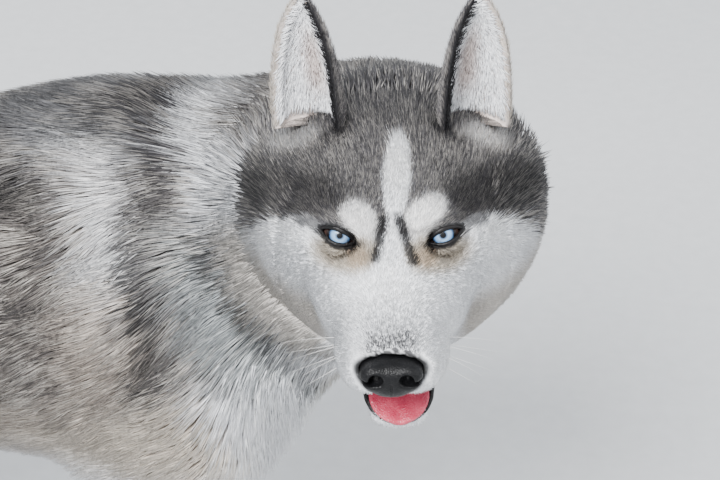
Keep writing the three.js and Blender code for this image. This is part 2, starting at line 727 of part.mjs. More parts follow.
// The almond opening between the lids, as a plug from the middle of the eye outwards
function lidOpening(side) {
  const outline = new THREE.Shape();
  const half = LIDS.long / 2;
  outline.moveTo(-half, -1.5);
  outline.quadraticCurveTo(-half * 0.2, LIDS.tall * 1.02, half, 0.5);
  outline.quadraticCurveTo(half * 0.1, -LIDS.tall * 0.95, -half, -1.5);
  const plug = new THREE.ExtrudeGeometry(outline, { depth: 40, bevelEnabled: false, curveSegments: 6 });
  return solidOf(plug.applyMatrix4(eyeFrame(side)));
}

function headSolid() {
  const cut = {
    point: HEAD_CUT.point.clone().applyMatrix4(headBack),
    normal: HEAD_CUT.normal.clone().transformDirection(headBack),
  };
  let solid = withLocks(headShell(0), [...cheekLocks(1), ...cheekLocks(-1)]);
  solid = solid.intersect(slab(shifted(cut, GAP), cut.normal));
  for (const side of Object.values(SIDES)) {
    const lids = EYE.radius + LIDS.thick;
    solid = solid
      .add(sphereSolid(eyeCentre(side), V(lids, lids, lids)))
      .subtract(lidOpening(side))
      .subtract(sphereSolid(eyeCentre(side), V(1, 1, 1).multiplyScalar(EYE.radius + GAP)));
  }
  return largestOf(solid.subtract(noseForm(GAP)));
}

// Nose leather: a rounded pad with two comma nostrils and a groove down its middle
function noseForm(grow = 0) {
  const radii = V(NOSE.depth / 2, NOSE.width / 2, NOSE.height / 2).addScalar(grow);
  return sphereSolid(V(NOSE.x, 0, NOSE.z), radii, new THREE.Euler(0, NOSE.tilt, 0), 14, 8);
}

function noseSolid() {
  let solid = noseForm();
  const front = NOSE.x + NOSE.depth / 2;
  for (const side of Object.values(SIDES)) {
    const hole = V(front - 2, NOSE.width * 0.23 * side, NOSE.z + 0.5);
    const slit = V(front - 5, NOSE.width * 0.38 * side, NOSE.z - 2.5);
    solid = solid
      .subtract(sphereSolid(hole, V(7, 4.2, 4.6), new THREE.Euler(0.5 * side, 0, 0), 7, 4))
      .subtract(sphereSolid(slit, V(7, 5, 1.6), new THREE.Euler(0, 0, 0.5 * side), 6, 4));
  }
  const groove = sphereSolid(V(front + 1, 0, NOSE.z - 7), V(4, 0.9, 10), undefined, 5, 4);
  return largestOf(solid.subtract(groove));
}

// Lower jaw, swung open about its hinge
const jawSwing = new THREE.Matrix4()
  .makeTranslation(JAW.hinge)
  .multiply(new THREE.Matrix4().makeRotationZ(degToRad(JAW.aside)))
  .multiply(new THREE.Matrix4().makeRotationY(degToRad(JAW.open)))
  .multiply(new THREE.Matrix4().makeTranslation(JAW.hinge.clone().negate()));

const jawForm = (p) => {
  const t = Math.min(1, Math.max(0, p.x / JAW.length));
  const half = lerp(JAW.width, JAW.chinWidth, t) / 2;
  const tall = lerp(JAW.height * 1.25, JAW.height, t) / 2;
  const beyond = Math.max(0, p.x - JAW.length, -4 - p.x) / 12;
  const k = Math.cbrt(Math.abs(p.y / half) ** 3 + Math.abs((p.z - JAW.z) / tall) ** 3);
  return (Math.hypot(k, beyond) - 1) * tall * 0.9;
};

function jawSolid() {
  const stations = alongX([-4, 10, 24, 38, 50, 60], JAW.z);
  const trough = sphereSolid(V(20, 0, JAW.z + 14), V(60, JAW.chinWidth / 2 - 1, 14), undefined, 14, 8);
  return shell(jawForm, stations, 16, { endDome: 3, startDome: 2, most: 60 })
    .subtract(trough)
    .transform([...jawSwing.elements]);
}

// The tongue lies in the jaw: a flat tapering tube with a groove down its middle
function tongueSolid(grow = 0) {
  const steps = 8;
  const around = 14;
  const rings = [];
  for (let i = 1; i < steps; i++) {
    const t = i / steps;
    const round = Math.sqrt(1 - Math.max(0, (t - 0.6) / 0.4) ** 2.4);
    const half = (TONGUE.width / 2) * round * Math.min(1, 0.7 + t * 0.4) + grow;
    const ring = Array.from({ length: around }, (_, j) => {
      const a = (2 * Math.PI * j) / around;
      const y = half * Math.cos(a);
      const groove = Math.sin(a) > 0 ? TONGUE.groove * Math.exp(-(y * y) / 12) * (1 - t * 0.5) : 0;
      const rise = (TONGUE.thickness / 2) * (1 - 0.3 * t) + grow;
      const middle = TONGUE.z - 2 * t * t - TONGUE.droop * smoothstep(t, 0.6, 1);
      return V(TONGUE.root + t * TONGUE.length, y, middle + rise * Math.sin(a) - groove);
    });
    rings.push(ring);
  }
  const poles = [
    V(TONGUE.root - grow, 0, TONGUE.z),
    V(TONGUE.root + TONGUE.length + grow, 0, TONGUE.z - 2 - TONGUE.droop),
  ];
  return ringsToSolid(rings, poles).transform([...jawSwing.elements]);
}

// An ear: a tapering crescent section swept up from its root
function earSolid(side) {
  const steps = 9;
  const arc = 7;
  const rings = Array.from({ length: steps }, (_, i) => {
    const t = i / (steps - 0.55);
    const half = (EAR.base / 2) * (1 - t ** 2.8) ** 0.62;
    const deep = half * (0.95 - 0.35 * t);
    const wall = Math.min(EAR.wall, half * 0.45);
    const row = (opening, thin) =>
      Array.from({ length: arc }, (_, j) => {
        const a = lerp(-opening, opening, j / (arc - 1));
        const x = deep * 0.35 - (deep - thin) * Math.cos(a);
        return V(x, (half - thin * 0.9) * Math.sin(a), EAR.height * t);
      });
    return [...row(1.75, 0), ...row(1.62, wall).reverse()];
  });
  const backOf = (ring) => ring[(arc - 1) / 2].clone().lerp(ring[arc + (arc - 1) / 2], 0.5);
  const tip = backOf(rings[steps - 1]).setZ(EAR.height);
  const angles = [-EAR.splay * side, EAR.lean, EAR.outward * side].map(degToRad);
  const quaternion = new THREE.Quaternion().setFromEuler(new THREE.Euler(...angles));
  const pose = new THREE.Matrix4().compose(V(EAR.x, EAR.y * side, EAR.z), quaternion, V(1, 1, 1));
  return ringsToSolid(rings, [backOf(rings[0]), tip]).transform([...pose.elements]);
}

const headParts = { head: headSolid(), nose: noseSolid() };
const grownHead = headShell(GAP);
headParts.jaw = largestOf(jawSolid().subtract(grownHead).subtract(tongueSolid(GAP)));
headParts.tongue = largestOf(tongueSolid().subtract(grownHead));
for (const [name, side] of Object.entries(SIDES)) {
  const radii = V(EYE.radius, EYE.radius, EYE.radius);
  headParts["eye_" + name] = sphereSolid(eyeCentre(side), radii, undefined, 14, 8);
  headParts["ear_" + name] = largestOf(earSolid(side).subtract(grownHead));
}

const finish = (color, roughness) => new THREE.MeshStandardMaterial({ color, roughness, metalness: 0 });
const FINISHES = {
  coat: finish(0x8d8a88, 0.95),
  pale_coat: finish(0xd9d5ce, 0.95),
  nose_leather: finish(0x17181b, 0.45),
  eye: finish(0x9fc4e6, 0.08),
  tongue: finish(0xc4525c, 0.35),
  claw: finish(0x2b2725, 0.5),
};
const FINISH_OF = [
  [/claw/, "claw"],
  [/paw|foreleg|shank|jaw/, "pale_coat"],
  [/nose/, "nose_leather"],
  [/eye/, "eye"],
  [/tongue/, "tongue"],
  [/./, "coat"],
];

const group = new THREE.Group();
const dog = new THREE.Group();
const headGroup = new THREE.Group();
group.add(dog);
dog.add(headGroup);
headPose.decompose(headGroup.position, headGroup.quaternion, headGroup.scale);

function place(parent, solids) {
  for (const [name, solid] of Object.entries(solids)) {
    const [, slot] = FINISH_OF.find(([pattern]) => pattern.test(name));
    const mesh = new THREE.Mesh(geometryOf(solid), FINISHES[slot]);
    mesh.name = name;
    parent.add(mesh);
  }
}
place(dog, parts);
place(headGroup, headParts);

// The row's origin lies on the ground under the middle of the dog
group.updateMatrixWorld(true);
const box = new THREE.Box3().setFromObject(group, true);
dog.position.set(-(box.min.x + box.max.x) / 2, -(box.min.y + box.max.y) / 2, -box.min.z);

export default group;
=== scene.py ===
import math

import bpy
import numpy as np
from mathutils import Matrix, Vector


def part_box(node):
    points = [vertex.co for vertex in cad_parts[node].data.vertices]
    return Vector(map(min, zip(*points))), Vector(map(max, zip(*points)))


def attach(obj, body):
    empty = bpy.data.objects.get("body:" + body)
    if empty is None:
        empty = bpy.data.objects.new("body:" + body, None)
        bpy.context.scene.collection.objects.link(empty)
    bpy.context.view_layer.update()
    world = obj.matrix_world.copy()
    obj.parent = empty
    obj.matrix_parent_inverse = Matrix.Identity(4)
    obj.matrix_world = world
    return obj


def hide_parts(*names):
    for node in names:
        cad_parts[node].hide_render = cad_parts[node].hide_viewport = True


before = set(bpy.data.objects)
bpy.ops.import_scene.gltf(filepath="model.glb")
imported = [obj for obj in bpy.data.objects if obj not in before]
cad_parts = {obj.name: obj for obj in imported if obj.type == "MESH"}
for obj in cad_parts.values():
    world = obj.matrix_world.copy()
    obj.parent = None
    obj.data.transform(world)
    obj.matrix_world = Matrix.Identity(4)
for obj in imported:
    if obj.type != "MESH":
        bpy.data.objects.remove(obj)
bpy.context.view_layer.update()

import openvdb
from mathutils import Matrix, Vector

WITHERS = 582
CHEST_DEPTH = 306
CHEST_WIDTH = 238
TRUNK = {"chest": 116, "ribs": -6, "loin": -118, "rump": -212}
HEAD_AT = np.array([314, -176, 592.0])
HEAD_YAW, HEAD_ROLL = -86, 1
EYE = {"apart": 66, "radius": 11.5, "forward": -6, "high": -1, "outward": 11, "upward": 24}
LIDS = {"half": 12.2, "upper": 5.0, "lower": 4.7, "slant": 16, "rim": 1.6}
GAZE = Vector((0.885, 0, 0.465)).normalized()
IRIS = {"radius": 7.3, "pupil": 2.1, "bulge": 0.9}
NAPE, MUZZLE_TIP = -130, 80
NOSE = {"x": 86, "z": -44, "width": 40, "height": 30, "depth": 26}
JAW = {"hinge": (-42, 0, -26), "open": 11, "aside": 2.5, "z": -76, "width": 64, "chin": 43}
JAW |= {"height": 25, "length": 72}
TONGUE = {"width": 40, "root": 14, "length": 72, "thickness": 9, "z": -63}
TONGUE |= {"droop": 4.5, "groove": 2.2}
EAR = {"x": -74, "y": 51, "z": 40, "height": 98, "base": 49, "wall": 4.2}
EAR |= {"splay": 3, "outward": 24, "lean": 2}
FORE = {"shoulder": (186, 84, 376), "elbow": (128, 82, 306), "wrist": (146, 73, 124)}
FORE |= {"fetlock": (158, 71, 66), "paw": (181, 71, 24)}
HIND = {"hip": (-214, 70, 428), "stifle": (-158, 84, 312), "hock": (-290, 72, 166)}
HIND |= {"fetlock": (-280, 71, 62), "paw": (-256, 72, 23)}
PAW = {"length": 90, "width": 62, "height": 44, "toes": 4, "long": 21, "wide": 9.5, "tall": 17}
NECK_CUT = (np.array([206, 0, 500.0]), np.array([0.86, -0.3, 0.48]) / math.hypot(0.86, 0.3, 0.48))
# Where the fine mesh of the head meets the mesh of the body, along the head's own X
HEAD_JOIN = -88
# Forms of the face: centre and radii, for the left side where there are two
EYE_RIDGE = ((-21, 24, 15), (19, 19, 12))
BROW = ((-13, 30, 16), (13, 15, 5.5))
MUZZLE_PAD = ((53, 18, -52), (27, 15.5, 13))
CHEEK_HOLLOW = {"at": (-6, 50, -50), "radii": (15, 13, 24), "depth": 5.5}
MOUTH = ((30, 0, -80), (52, 19, 10))
# Lengths of the coat's tufts; the forehead's and the crown's are added to the muzzle's
TUFT = {"muzzle": 4.4, "forehead": 3, "crown": 5, "cheek": 23, "throat": 20, "nape": 26}
TUFT |= {"body": 44, "ruff": 8, "breeches": 8, "leg": 11, "paw": 7, "tail": 66, "tail_tip": 36}
SIDES = {"left": 1, "right": -1}
# The photo's camera: degrees, metres from the head, focal length in pixels and the picture's size.
# HEAD_PIXEL is where the head's origin lies in the picture.
PHOTO = {"azimuth": 5, "elevation": 33, "distance": 1.45, "focal": 2260, "across": 720, "down": 480}
HEAD_PIXEL = (391, 237)
# How fine the ears' meshes are: rings from base to tip, and points across each side of a ring
EAR_ROWS, EAR_ACROSS = 44, 26


# Smooth numbers and curves
def smooth(x, low, high):
    """From 0 below the low value to 1 above the high one, without corners."""
    t = np.clip((x - low) / (high - low), 0, 1)
    return t * t * (3 - 2 * t)


def through(*points):
    """A smooth height through points with a place and a height each."""
    xs, ys = np.array(points, float).T
    slopes = np.array([
        (ys[min(i + 1, len(xs) - 1)] - ys[max(i - 1, 0)]) / (xs[min(i + 1, len(xs) - 1)] - xs[max(i - 1, 0)])
        for i in range(len(xs))
    ])

    def curve(x):
        i = np.clip(np.searchsorted(xs, x, side="right"), 1, len(xs) - 1)
        span = xs[i] - xs[i - 1]
        t = np.clip((x - xs[i - 1]) / span, 0, 1)
        rise = (t**3 - 2 * t * t + t) * slopes[i - 1] + (t**3 - t * t) * slopes[i]
        return ys[i - 1] + (ys[i] - ys[i - 1]) * t * t * (3 - 2 * t) + rise * span

    return curve


def spline(points):
    """A centripetal curve through points, read from 0 to 1 with an equal share for each span."""
    points = [np.array(p, float) for p in points]
    points = [2 * points[0] - points[1]] + points + [2 * points[-1] - points[-2]]

    def at(t):
        spans = len(points) - 3
        i = min(int(t * spans), spans - 1)
        u = t * spans - i
        p0, p1, p2, p3 = points[i:i + 4]
        d0, d1, d2 = (max(np.dot(b - a, b - a) ** 0.25, 1e-4) for a, b in ((p0, p1), (p1, p2), (p2, p3)))
        m1 = ((p1 - p0) / d0 - (p2 - p0) / (d0 + d1) + (p2 - p1) / d1) * d1
        m2 = ((p2 - p1) / d1 - (p3 - p1) / (d1 + d2) + (p3 - p2) / d2) * d1
        return (p1 + m1 * u + (3 * (p2 - p1) - 2 * m1 - m2) * u * u + (2 * (p1 - p2) + m1 + m2) * u**3)

    return at


def turned(x=0, y=0, z=0):
    """A rotation in degrees, about X first, then Y, then Z."""
    spins = (Matrix.Rotation(math.radians(a), 3, axis) for a, axis in ((z, "Z"), (y, "Y"), (x, "X")))
    rz, ry, rx = spins
    return np.array(rz @ ry @ rx)


def photo_axes():
    """The photo's right and up, and the way towards its camera."""
    a, e = math.radians(PHOTO["azimuth"]), math.radians(PHOTO["elevation"])
    right = np.array([math.cos(a), math.sin(a), 0])
    towards = np.array([math.sin(a) * math.cos(e), -math.cos(a) * math.cos(e), math.sin(e)])
    return right, np.cross(towards, right), towards


RIGHT, UP, TOWARDS = photo_axes()
HEAD_TURN = turned(x=HEAD_ROLL, z=HEAD_YAW)


def to_head(p):
    return (p - HEAD_AT) @ HEAD_TURN


def from_head(q):
    return np.asarray(q, float) @ HEAD_TURN.T + HEAD_AT


def mirrored(v, side):
    return np.array([v[0], v[1] * side, v[2]], float)


# Forms: each gives about how far points lie outside a smooth shape
def ball(centre, radii, turn=None):
    """An ellipsoid, turned where a rotation is given."""
    centre, radii = np.array(centre, float), np.array(radii, float)

    def form(p):
        q = p - centre
        if turn is not None:
            q = q @ turn
        k0 = np.linalg.norm(q / radii, axis=-1)
        k1 = np.linalg.norm(q / radii**2, axis=-1)
        return k0 * (k0 - 1) / np.maximum(k1, 1e-9)

    return form


def limb(a, b, ra, rb):
    """A round limb from one point to another, with a radius at each end."""
    a, b = np.array(a, float), np.array(b, float)
    axis = b - a

    def form(p):
        t = np.clip((p - a) @ axis / (axis @ axis), 0, 1)
        return np.linalg.norm(p - a - t[..., None] * axis, axis=-1) - (ra + (rb - ra) * t)

    return form


def blend(fillet, d, e):
    """Two forms as one, with a fillet between them."""
    h = np.maximum(fillet - np.abs(d - e), 0) / fillet
    return np.minimum(d, e) - h * h * fillet * 0.25


def carve(fillet, d, hole):
    """A form with another cut out of it, its edge rounded."""
    return -blend(fillet, -d, hole)


def join(fillet, *forms):
    def form(p):
        d = forms[0](p)
        for other in forms[1:]:
            d = blend(fillet, d, other(p))
        return d

    return form


def along(curve, radius, steps):
    """A round limb that follows a curve and has its own radius at each place on it."""
    stops = [(curve(i / steps), float(radius(i / steps))) for i in range(steps + 1)]
    links = [limb(a, b, ra, rb) for (a, ra), (b, rb) in zip(stops, stops[1:])]
    return lambda p: np.minimum.reduce([link(p) for link in links])


# Head, in its own frame: origin midway between the eyes, +X to the nose
HALF = through((NAPE, 93), (-100, 99), (-75, 96), (-50, 84), (-25, 65), (-8, 52), (8, 43), (22, 38), (80, 30))
TOP = through((NAPE, 46), (-75, 49), (-50, 45), (-25, 32), (-8, 16), (8, -5), (22, -13), (80, -28))
BOTTOM = through((NAPE, -112), (-75, -112), (-50, -106), (-25, -95), (-8, -86), (8, -76), (80, -64))
WIDEST = through((NAPE, -12), (-75, -24), (-25, -30), (8, -38), (22, -44), (80, -47))


def section_form(q):
    """The head and muzzle, from their half width, top, bottom and widest height along X."""
    x = np.clip(q[..., 0], NAPE, MUZZLE_TIP)
    half, widest = HALF(x), WIDEST(x)
    tall = np.where(q[..., 2] > widest, TOP(x) - widest, widest - BOTTOM(x))
    square = np.clip(2 + (x - 5) / 60, 2, 3)
    k = (np.abs(q[..., 1] / half) ** square + np.abs((q[..., 2] - widest) / tall) ** square) ** (1 / square)
    return (np.hypot(k, (q[..., 0] - x) / 13) - 1) * np.minimum(half, tall) * 0.9


def pair_of(form):
    centre, radii = form
    return (ball(mirrored(centre, side), radii) for side in SIDES.values())


head_form = join(12, section_form, *pair_of(EYE_RIDGE))

NECK_LINE = spline([(92, 0, 440), (184, 4, 463), (262, -16, 510)]
                   + [from_head(q) for q in ((-124, 4, -48), (-66, 0, -36), (-30, 0, -34))])
neck_form = along(NECK_LINE, through((0, 124), (0.4, 109), (0.65, 95), (0.83, 81), (1, 56)), 10)

trunk_form = join(
    44,
    ball((TRUNK["chest"], 0, WITHERS - 158), (152, CHEST_WIDTH / 2, CHEST_DEPTH / 2)),
    ball((TRUNK["chest"] - 12, 0, WITHERS - 46), (96, 62, 44)),
    ball((TRUNK["ribs"], 0, WITHERS - 156), (150, CHEST_WIDTH / 2 - 4, CHEST_DEPTH / 2 - 14)),
    ball((TRUNK["loin"], 0, WITHERS - 132), (130, 97, 104)),
    ball((TRUNK["rump"], 0, WITHERS - 122), (98, 96, 97)),
)


def paw_form(centre, side):
    def toe(i):
        across = (i - (PAW["toes"] - 1) / 2) / ((PAW["toes"] - 1) / 2)
        x = centre[0] + PAW["length"] * (0.33 - 0.13 * across**2)
        y = (centre[1] + across * PAW["width"] * 0.36) * side
        return ball((x, y, PAW["tall"]), (PAW["long"], PAW["wide"], PAW["tall"]))

    body = ball(mirrored(centre, side), (PAW["length"] * 0.42, PAW["width"] / 2, PAW["height"] / 2))
    return join(5, body, *(toe(i) for i in range(PAW["toes"])))


def fore_form(side):
    at = {name: mirrored(v, side) for name, v in FORE.items()}
    return join(
        30,
        join(40, ball(mirrored((160, 76, 408), side), (66, 48, 104), turned(y=18.3)),
             limb(at["shoulder"], at["elbow"], 54, 42)),
        limb(at["elbow"], at["wrist"], 39, 26),
        limb(at["wrist"], at["fetlock"], 26, 25),
        paw_form(FORE["paw"], side),
    )


def hind_form(side):
    at = {name: mirrored(v, side) for name, v in HIND.items()}
    return join(
        30,
        join(40, ball(mirrored((-204, 76, 410), side), (88, 48, 112), turned(y=-11.5)),
             limb(at["hip"], at["stifle"], 66, 50)),
        limb(at["stifle"], at["hock"], 50, 26),
        ball(mirrored((-302, 80, 172), side), (16, 15, 26)),
        limb(at["hock"], at["fetlock"], 26, 25),
        paw_form(HIND["paw"], side),
    )


TAIL_LINE = spline([(-284, 0, 514), (-338, 2, 494), (-384, 4, 436),
                    (-402, 4, 360), (-408, 0, 284), (-428, -6, 218)])
tail_form = along(TAIL_LINE, through((0, 38), (0.2, 46), (0.5, 57), (0.8, 44), (1, 12)), 16)
tail_core = along(TAIL_LINE, through((0, 36), (0.2, 34), (0.5, 28), (0.8, 20), (1, 5)), 16)
LEGS = [fore_form(1), fore_form(-1), hind_form(1), hind_form(-1)]


def body_field(p, tail=tail_form):
    """The whole dog's outer form, out to the tips of the coat."""
    d = blend(34, neck_form(p), head_form(to_head(p)))
    d = blend(46, d, trunk_form(p))
    for leg in LEGS:
        d = blend(40, d, leg(p))
    d = blend(30, d, tail(p))
    return np.maximum(d, -p[..., 2])


def past_neck(p):
    return (p - NECK_CUT[0]) @ NECK_CUT[1]


def from_skull(q):
    """How far a point lies from a line through the head, from behind the eyes to the nose."""
    start, line = np.array([-40, 0, -20.0]), np.array([125, 0, -30.0])
    t = np.clip((q - start) @ line / (line @ line), 0, 1)
    return np.linalg.norm(q - start - t[..., None] * line, axis=-1)


def coat_depth(p):
    """How far the skin lies inside the outer form."""
    q = to_head(p)
    x, side, z = q[..., 0], np.abs(q[..., 1]), q[..., 2]
    face = 1.4 + 3.0 * smooth(-x, 0, 40)
    cheek = smooth(-x, 18, 52) * smooth(side, 34, 66) * smooth(22 - z, 0, 30)
    nape = smooth(-x, 78, 118)
    head = face + (12 - face) * np.maximum(cheek, nape)
    trunk = 12 - 5 * smooth(-p[..., 2], -330, -290) * smooth(-np.abs(p[..., 1]), -90, -40)
    trunk = trunk + 6 * smooth(past_neck(p), -60, 10)
    low = smooth(-p[..., 2], -330, -190)
    body = trunk * (1 - low) + 3 * low
    near_head = smooth(-from_skull(q), -150, -112)
    return body + (head - body) * near_head


def skin_field(p):
    return body_field(p, tail_core) + coat_depth(p)


# Face: eyes, lids, mouth and nose, in the head's frame
def eye_frame(side):
    """The eye's centre, and a basis with X along the lids, Y up and Z along the gaze."""
    out = math.radians(EYE["outward"]) * side
    gaze = Vector((math.cos(out), math.sin(out), math.tan(math.radians(EYE["upward"])))).normalized()
    level = Vector((0, 0, 1)).cross(gaze).normalized()
    line = Matrix.Rotation(math.radians(LIDS["slant"]) * side, 3, gaze) @ level
    basis = np.array([line, gaze.cross(line), gaze]).T
    return np.array([EYE["forward"], EYE["apart"] / 2 * side, EYE["high"]]), basis


def lid_edges(a):
    """The heights of the upper and lower lid above the middle of the eye, at a place along them."""
    arch = np.maximum(1 - (a / LIDS["half"]) ** 2, 0)
    return LIDS["upper"] * arch**0.8, -LIDS["lower"] * arch**0.9


def eye_opening(q, side):
    centre, basis = eye_frame(side)
    e = (q - centre) @ basis
    upper, lower = lid_edges(e[..., 0])
    slit = np.maximum(e[..., 1] - upper, lower - e[..., 1]) * 0.85
    return np.maximum(np.maximum(slit, np.abs(e[..., 0]) - LIDS["half"]), 3 - e[..., 2])


JAW_TURN = turned(y=JAW["open"], z=JAW["aside"])
HINGE = np.array(JAW["hinge"], float)


def in_jaw(q):
    return (q - HINGE) @ JAW_TURN + HINGE


def from_jaw(q):
    return (np.asarray(q, float) - HINGE) @ JAW_TURN.T + HINGE


def jaw_form(q):
    q = in_jaw(q)
    t = np.clip(q[..., 0] / JAW["length"], 0, 1)
    half = (JAW["width"] + (JAW["chin"] - JAW["width"]) * t) / 2
    tall = JAW["height"] * np.where(q[..., 2] < JAW["z"], 1.1 - 0.5 * t, 1.25 - 0.25 * t) / 2
    beyond = np.maximum(0, np.maximum(q[..., 0] - JAW["length"], -4 - q[..., 0])) / 12
    k = np.cbrt(np.abs(q[..., 1] / half) ** 3 + np.abs((q[..., 2] - JAW["z"]) / tall) ** 3)
    jaw = (np.hypot(k, beyond) - 1) * tall * 0.9
    return carve(3, jaw, ball((24, 0, JAW["z"] + 14), (62, JAW["chin"] / 2 - 3, 14))(q))


def nose_form(q):
    c = q - np.array([NOSE["x"], 0, NOSE["z"]])
    half = NOSE["width"] / 2 * (0.76 + 0.24 * smooth(c[..., 2], -14, 6))
    tall = np.where(c[..., 2] > 0, NOSE["height"] * 0.38, NOSE["height"] / 2)
    k = (np.abs(c[..., 0] / (NOSE["depth"] / 2)) ** 2.5 + np.abs(c[..., 1] / half) ** 2.5
         + np.abs(c[..., 2] / tall) ** 2.8) ** (1 / 2.6)
    return (k - 1) * NOSE["height"] / 2 * 0.8


def nose_field(q):
    front = NOSE["x"] + NOSE["depth"] / 2
    d = nose_form(q)
    for side in SIDES.values():
        d = blend(4, d, ball((front - 6, 11 * side, NOSE["z"] + 1), (6, 7.5, 8.5))(q))
        d = carve(1.8, d, ball((front + 1, 9.6 * side, NOSE["z"] + 2), (9, 4.6, 4.2))(q))
        d = carve(1.2, d, ball((front - 4, 16 * side, NOSE["z"] - 1), (9, 5.5, 1.9))(q))
    return carve(1.4, d, ball((front + 3, 0, NOSE["z"] - 8), (5, 0.9, 11))(q))


def mouth_space(q):
    return ball(*MOUTH)(q)


def shut_face(p):
    """The head's skin with its muzzle pads, brows, jaw and bulging eyes, before the lids part."""
    q = to_head(p)
    d = skin_field(p)
    for side, pad, brow in zip(SIDES.values(), pair_of(MUZZLE_PAD), pair_of(BROW)):
        d = blend(10, d, pad(q))
        d = blend(6, d, brow(q))
        off = (q - mirrored(CHEEK_HOLLOW["at"], side)) ** 2 / np.array(CHEEK_HOLLOW["radii"]) ** 2
        d = d + CHEEK_HOLLOW["depth"] * np.exp(-off.sum(-1))
    d = carve(4, d, mouth_space(q))
    d = blend(7, d, jaw_form(q) + 2)
    for side in SIDES.values():
        centre, _ = eye_frame(side)
        d = carve(8, d, ball(centre + np.array([5, 0, 0]), (15.5, 16, 12.5))(q))
        d = blend(5, d, ball(centre, [EYE["radius"] + 2.2] * 3)(q))
    return d


def face_field(p):
    q = to_head(p)
    d = shut_face(p)
    for side in SIDES.values():
        centre, _ = eye_frame(side)
        d = carve(1.6, d, eye_opening(q, side))
        d = carve(0.8, d, ball(centre, [EYE["radius"] + 0.4] * 3)(q))
    return carve(1.5, d, nose_form(q) - 0.4)


def face_outer(p):
    return shut_face(p) - coat_depth(p)


def head_zone(p):
    """Below zero where the head's fine mesh lies, and above zero in the body's."""
    q = to_head(p)
    ahead = HEAD_JOIN - q[..., 0]
    return np.maximum(ahead, np.linalg.norm(q - np.array([-10, 0, -30]), axis=-1) - 122)


# Meshes
def shift_from_frame():
    """From the dog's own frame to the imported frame, in millimetres: the eye's ball gives it."""
    low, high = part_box("eye_right")
    centre, _ = eye_frame(-1)
    return (np.array(low) + np.array(high)) * 500 - from_head(centre)


SHIFT = shift_from_frame()


def to_world(p):
    return (p + SHIFT) / 1000


def around(values, pick):
    """The least or greatest of each cell and those about it."""
    for axis in range(3):
        rows = np.swapaxes(values, 0, axis)
        rows = np.concatenate([rows[:1], rows, rows[-1:]])
        values = np.swapaxes(pick(pick(rows[:-2], rows[1:-1]), rows[2:]), 0, axis)
    return values


def surface_of(form, low, high, step, share=4):
    """Points and four-sided faces where a form is zero, read finely only near its surface."""
    low = np.array(low, float)
    cells = np.ceil((np.array(high, float) - low) / (step * share)).astype(int)
    grid = np.stack(np.meshgrid(*(np.arange(n) for n in cells), indexing="ij"), -1)
    block = step * share
    rough = form(low + (grid + 0.5) * block)
    values = np.sign(rough) * block
    for axis in range(3):
        values = np.repeat(values, share, axis)
    crossed = (around(rough, np.minimum) < 0) & (around(rough, np.maximum) > 0)
    near = np.argwhere(crossed | (np.abs(rough) < block * 1.5))
    inner = np.stack(np.meshgrid(*[np.arange(share)] * 3, indexing="ij"), -1).reshape(-1, 3)
    index = (near[:, None, :] * share + inner).reshape(-1, 3)
    for part in np.array_split(index, max(1, len(index) // 300000)):
        values[tuple(part.T)] = form(low + part * step)
    vdb = openvdb.FloatGrid(block)
    vdb.copyFromArray(values.astype(np.float32))
    points, quads = vdb.convertToQuads(0.0)[:2]
    points = low + points.astype(float) * step
    a, b, c, d = (points[quads[:, i]] for i in range(4))
    if (np.cross(c - a, d - b) * (a + c)).sum() < 0:
        quads = quads[:, ::-1]
    return points, quads.astype(int)


def new_piece(name, points, faces, slot, material, colours=None, uvs=None):
    """A mesh of like-sided faces, its points in the dog's frame; it rides on the body and takes a finish."""
    faces = np.asarray(faces)
    sides = faces.shape[1]
    mesh = bpy.data.meshes.new(name)
    mesh.vertices.add(len(points))
    mesh.vertices.foreach_set("co", to_world(np.asarray(points, float)).astype(np.float32).ravel())
    mesh.loops.add(faces.size)
    mesh.loops.foreach_set("vertex_index", faces.astype(np.int32).ravel())
    mesh.polygons.add(len(faces))
    mesh.polygons.foreach_set("loop_start", np.arange(0, faces.size, sides, dtype=np.int32))
    mesh.update(calc_edges=True)
    mesh.polygons.foreach_set("use_smooth", np.ones(len(faces), bool))
    if colours is not None:
        layer = mesh.color_attributes.new("Coat", "FLOAT_COLOR", "POINT")
        rgba = np.concatenate([colours, np.ones((len(colours), 1))], 1)
        layer.data.foreach_set("color", rgba.astype(np.float32).ravel())
    if uvs is not None:
        layer = mesh.uv_layers.new(name="OFBake")
        layer.data.foreach_set("uv", uvs[faces.ravel()].astype(np.float32).ravel())
    mesh.materials.append(material)
    piece = bpy.data.objects.new(name, mesh)
    bpy.context.scene.collection.objects.link(piece)
    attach(piece, "root")
    return piece


def closed_rings(rings, start, end):
    """A closed skin over rings of points, with a point at each end, as points and triangles."""
    rings = np.asarray(rings, float)
    rows, count = rings.shape[:2]
    a = np.arange(rows - 1)[:, None] * count + np.arange(count)
    b = np.arange(rows - 1)[:, None] * count + (np.arange(count) + 1) % count
    quads = np.stack([a, b, b + count, a + count], -1).reshape(-1, 4)
    first, last = rows * count, rows * count + 1
    here = np.arange(count)
    after = (here + 1) % count
    top = (rows - 1) * count
    caps = [np.stack([after, here, np.full(count, first)], -1),
            np.stack([here + top, after + top, np.full(count, last)], -1)]
    points = np.concatenate([rings.reshape(-1, 3), [start], [end]])
    triangles = np.concatenate([split(quads), *caps])
    a, b, c = (points[triangles[:, i]] - points.mean(0) for i in range(3))
    if (np.cross(a, b) * c).sum() < 0:
        triangles = triangles[:, ::-1]
    return points, triangles


def split(quads):
    return np.concatenate([quads[:, [0, 1, 2]], quads[:, [0, 2, 3]]])


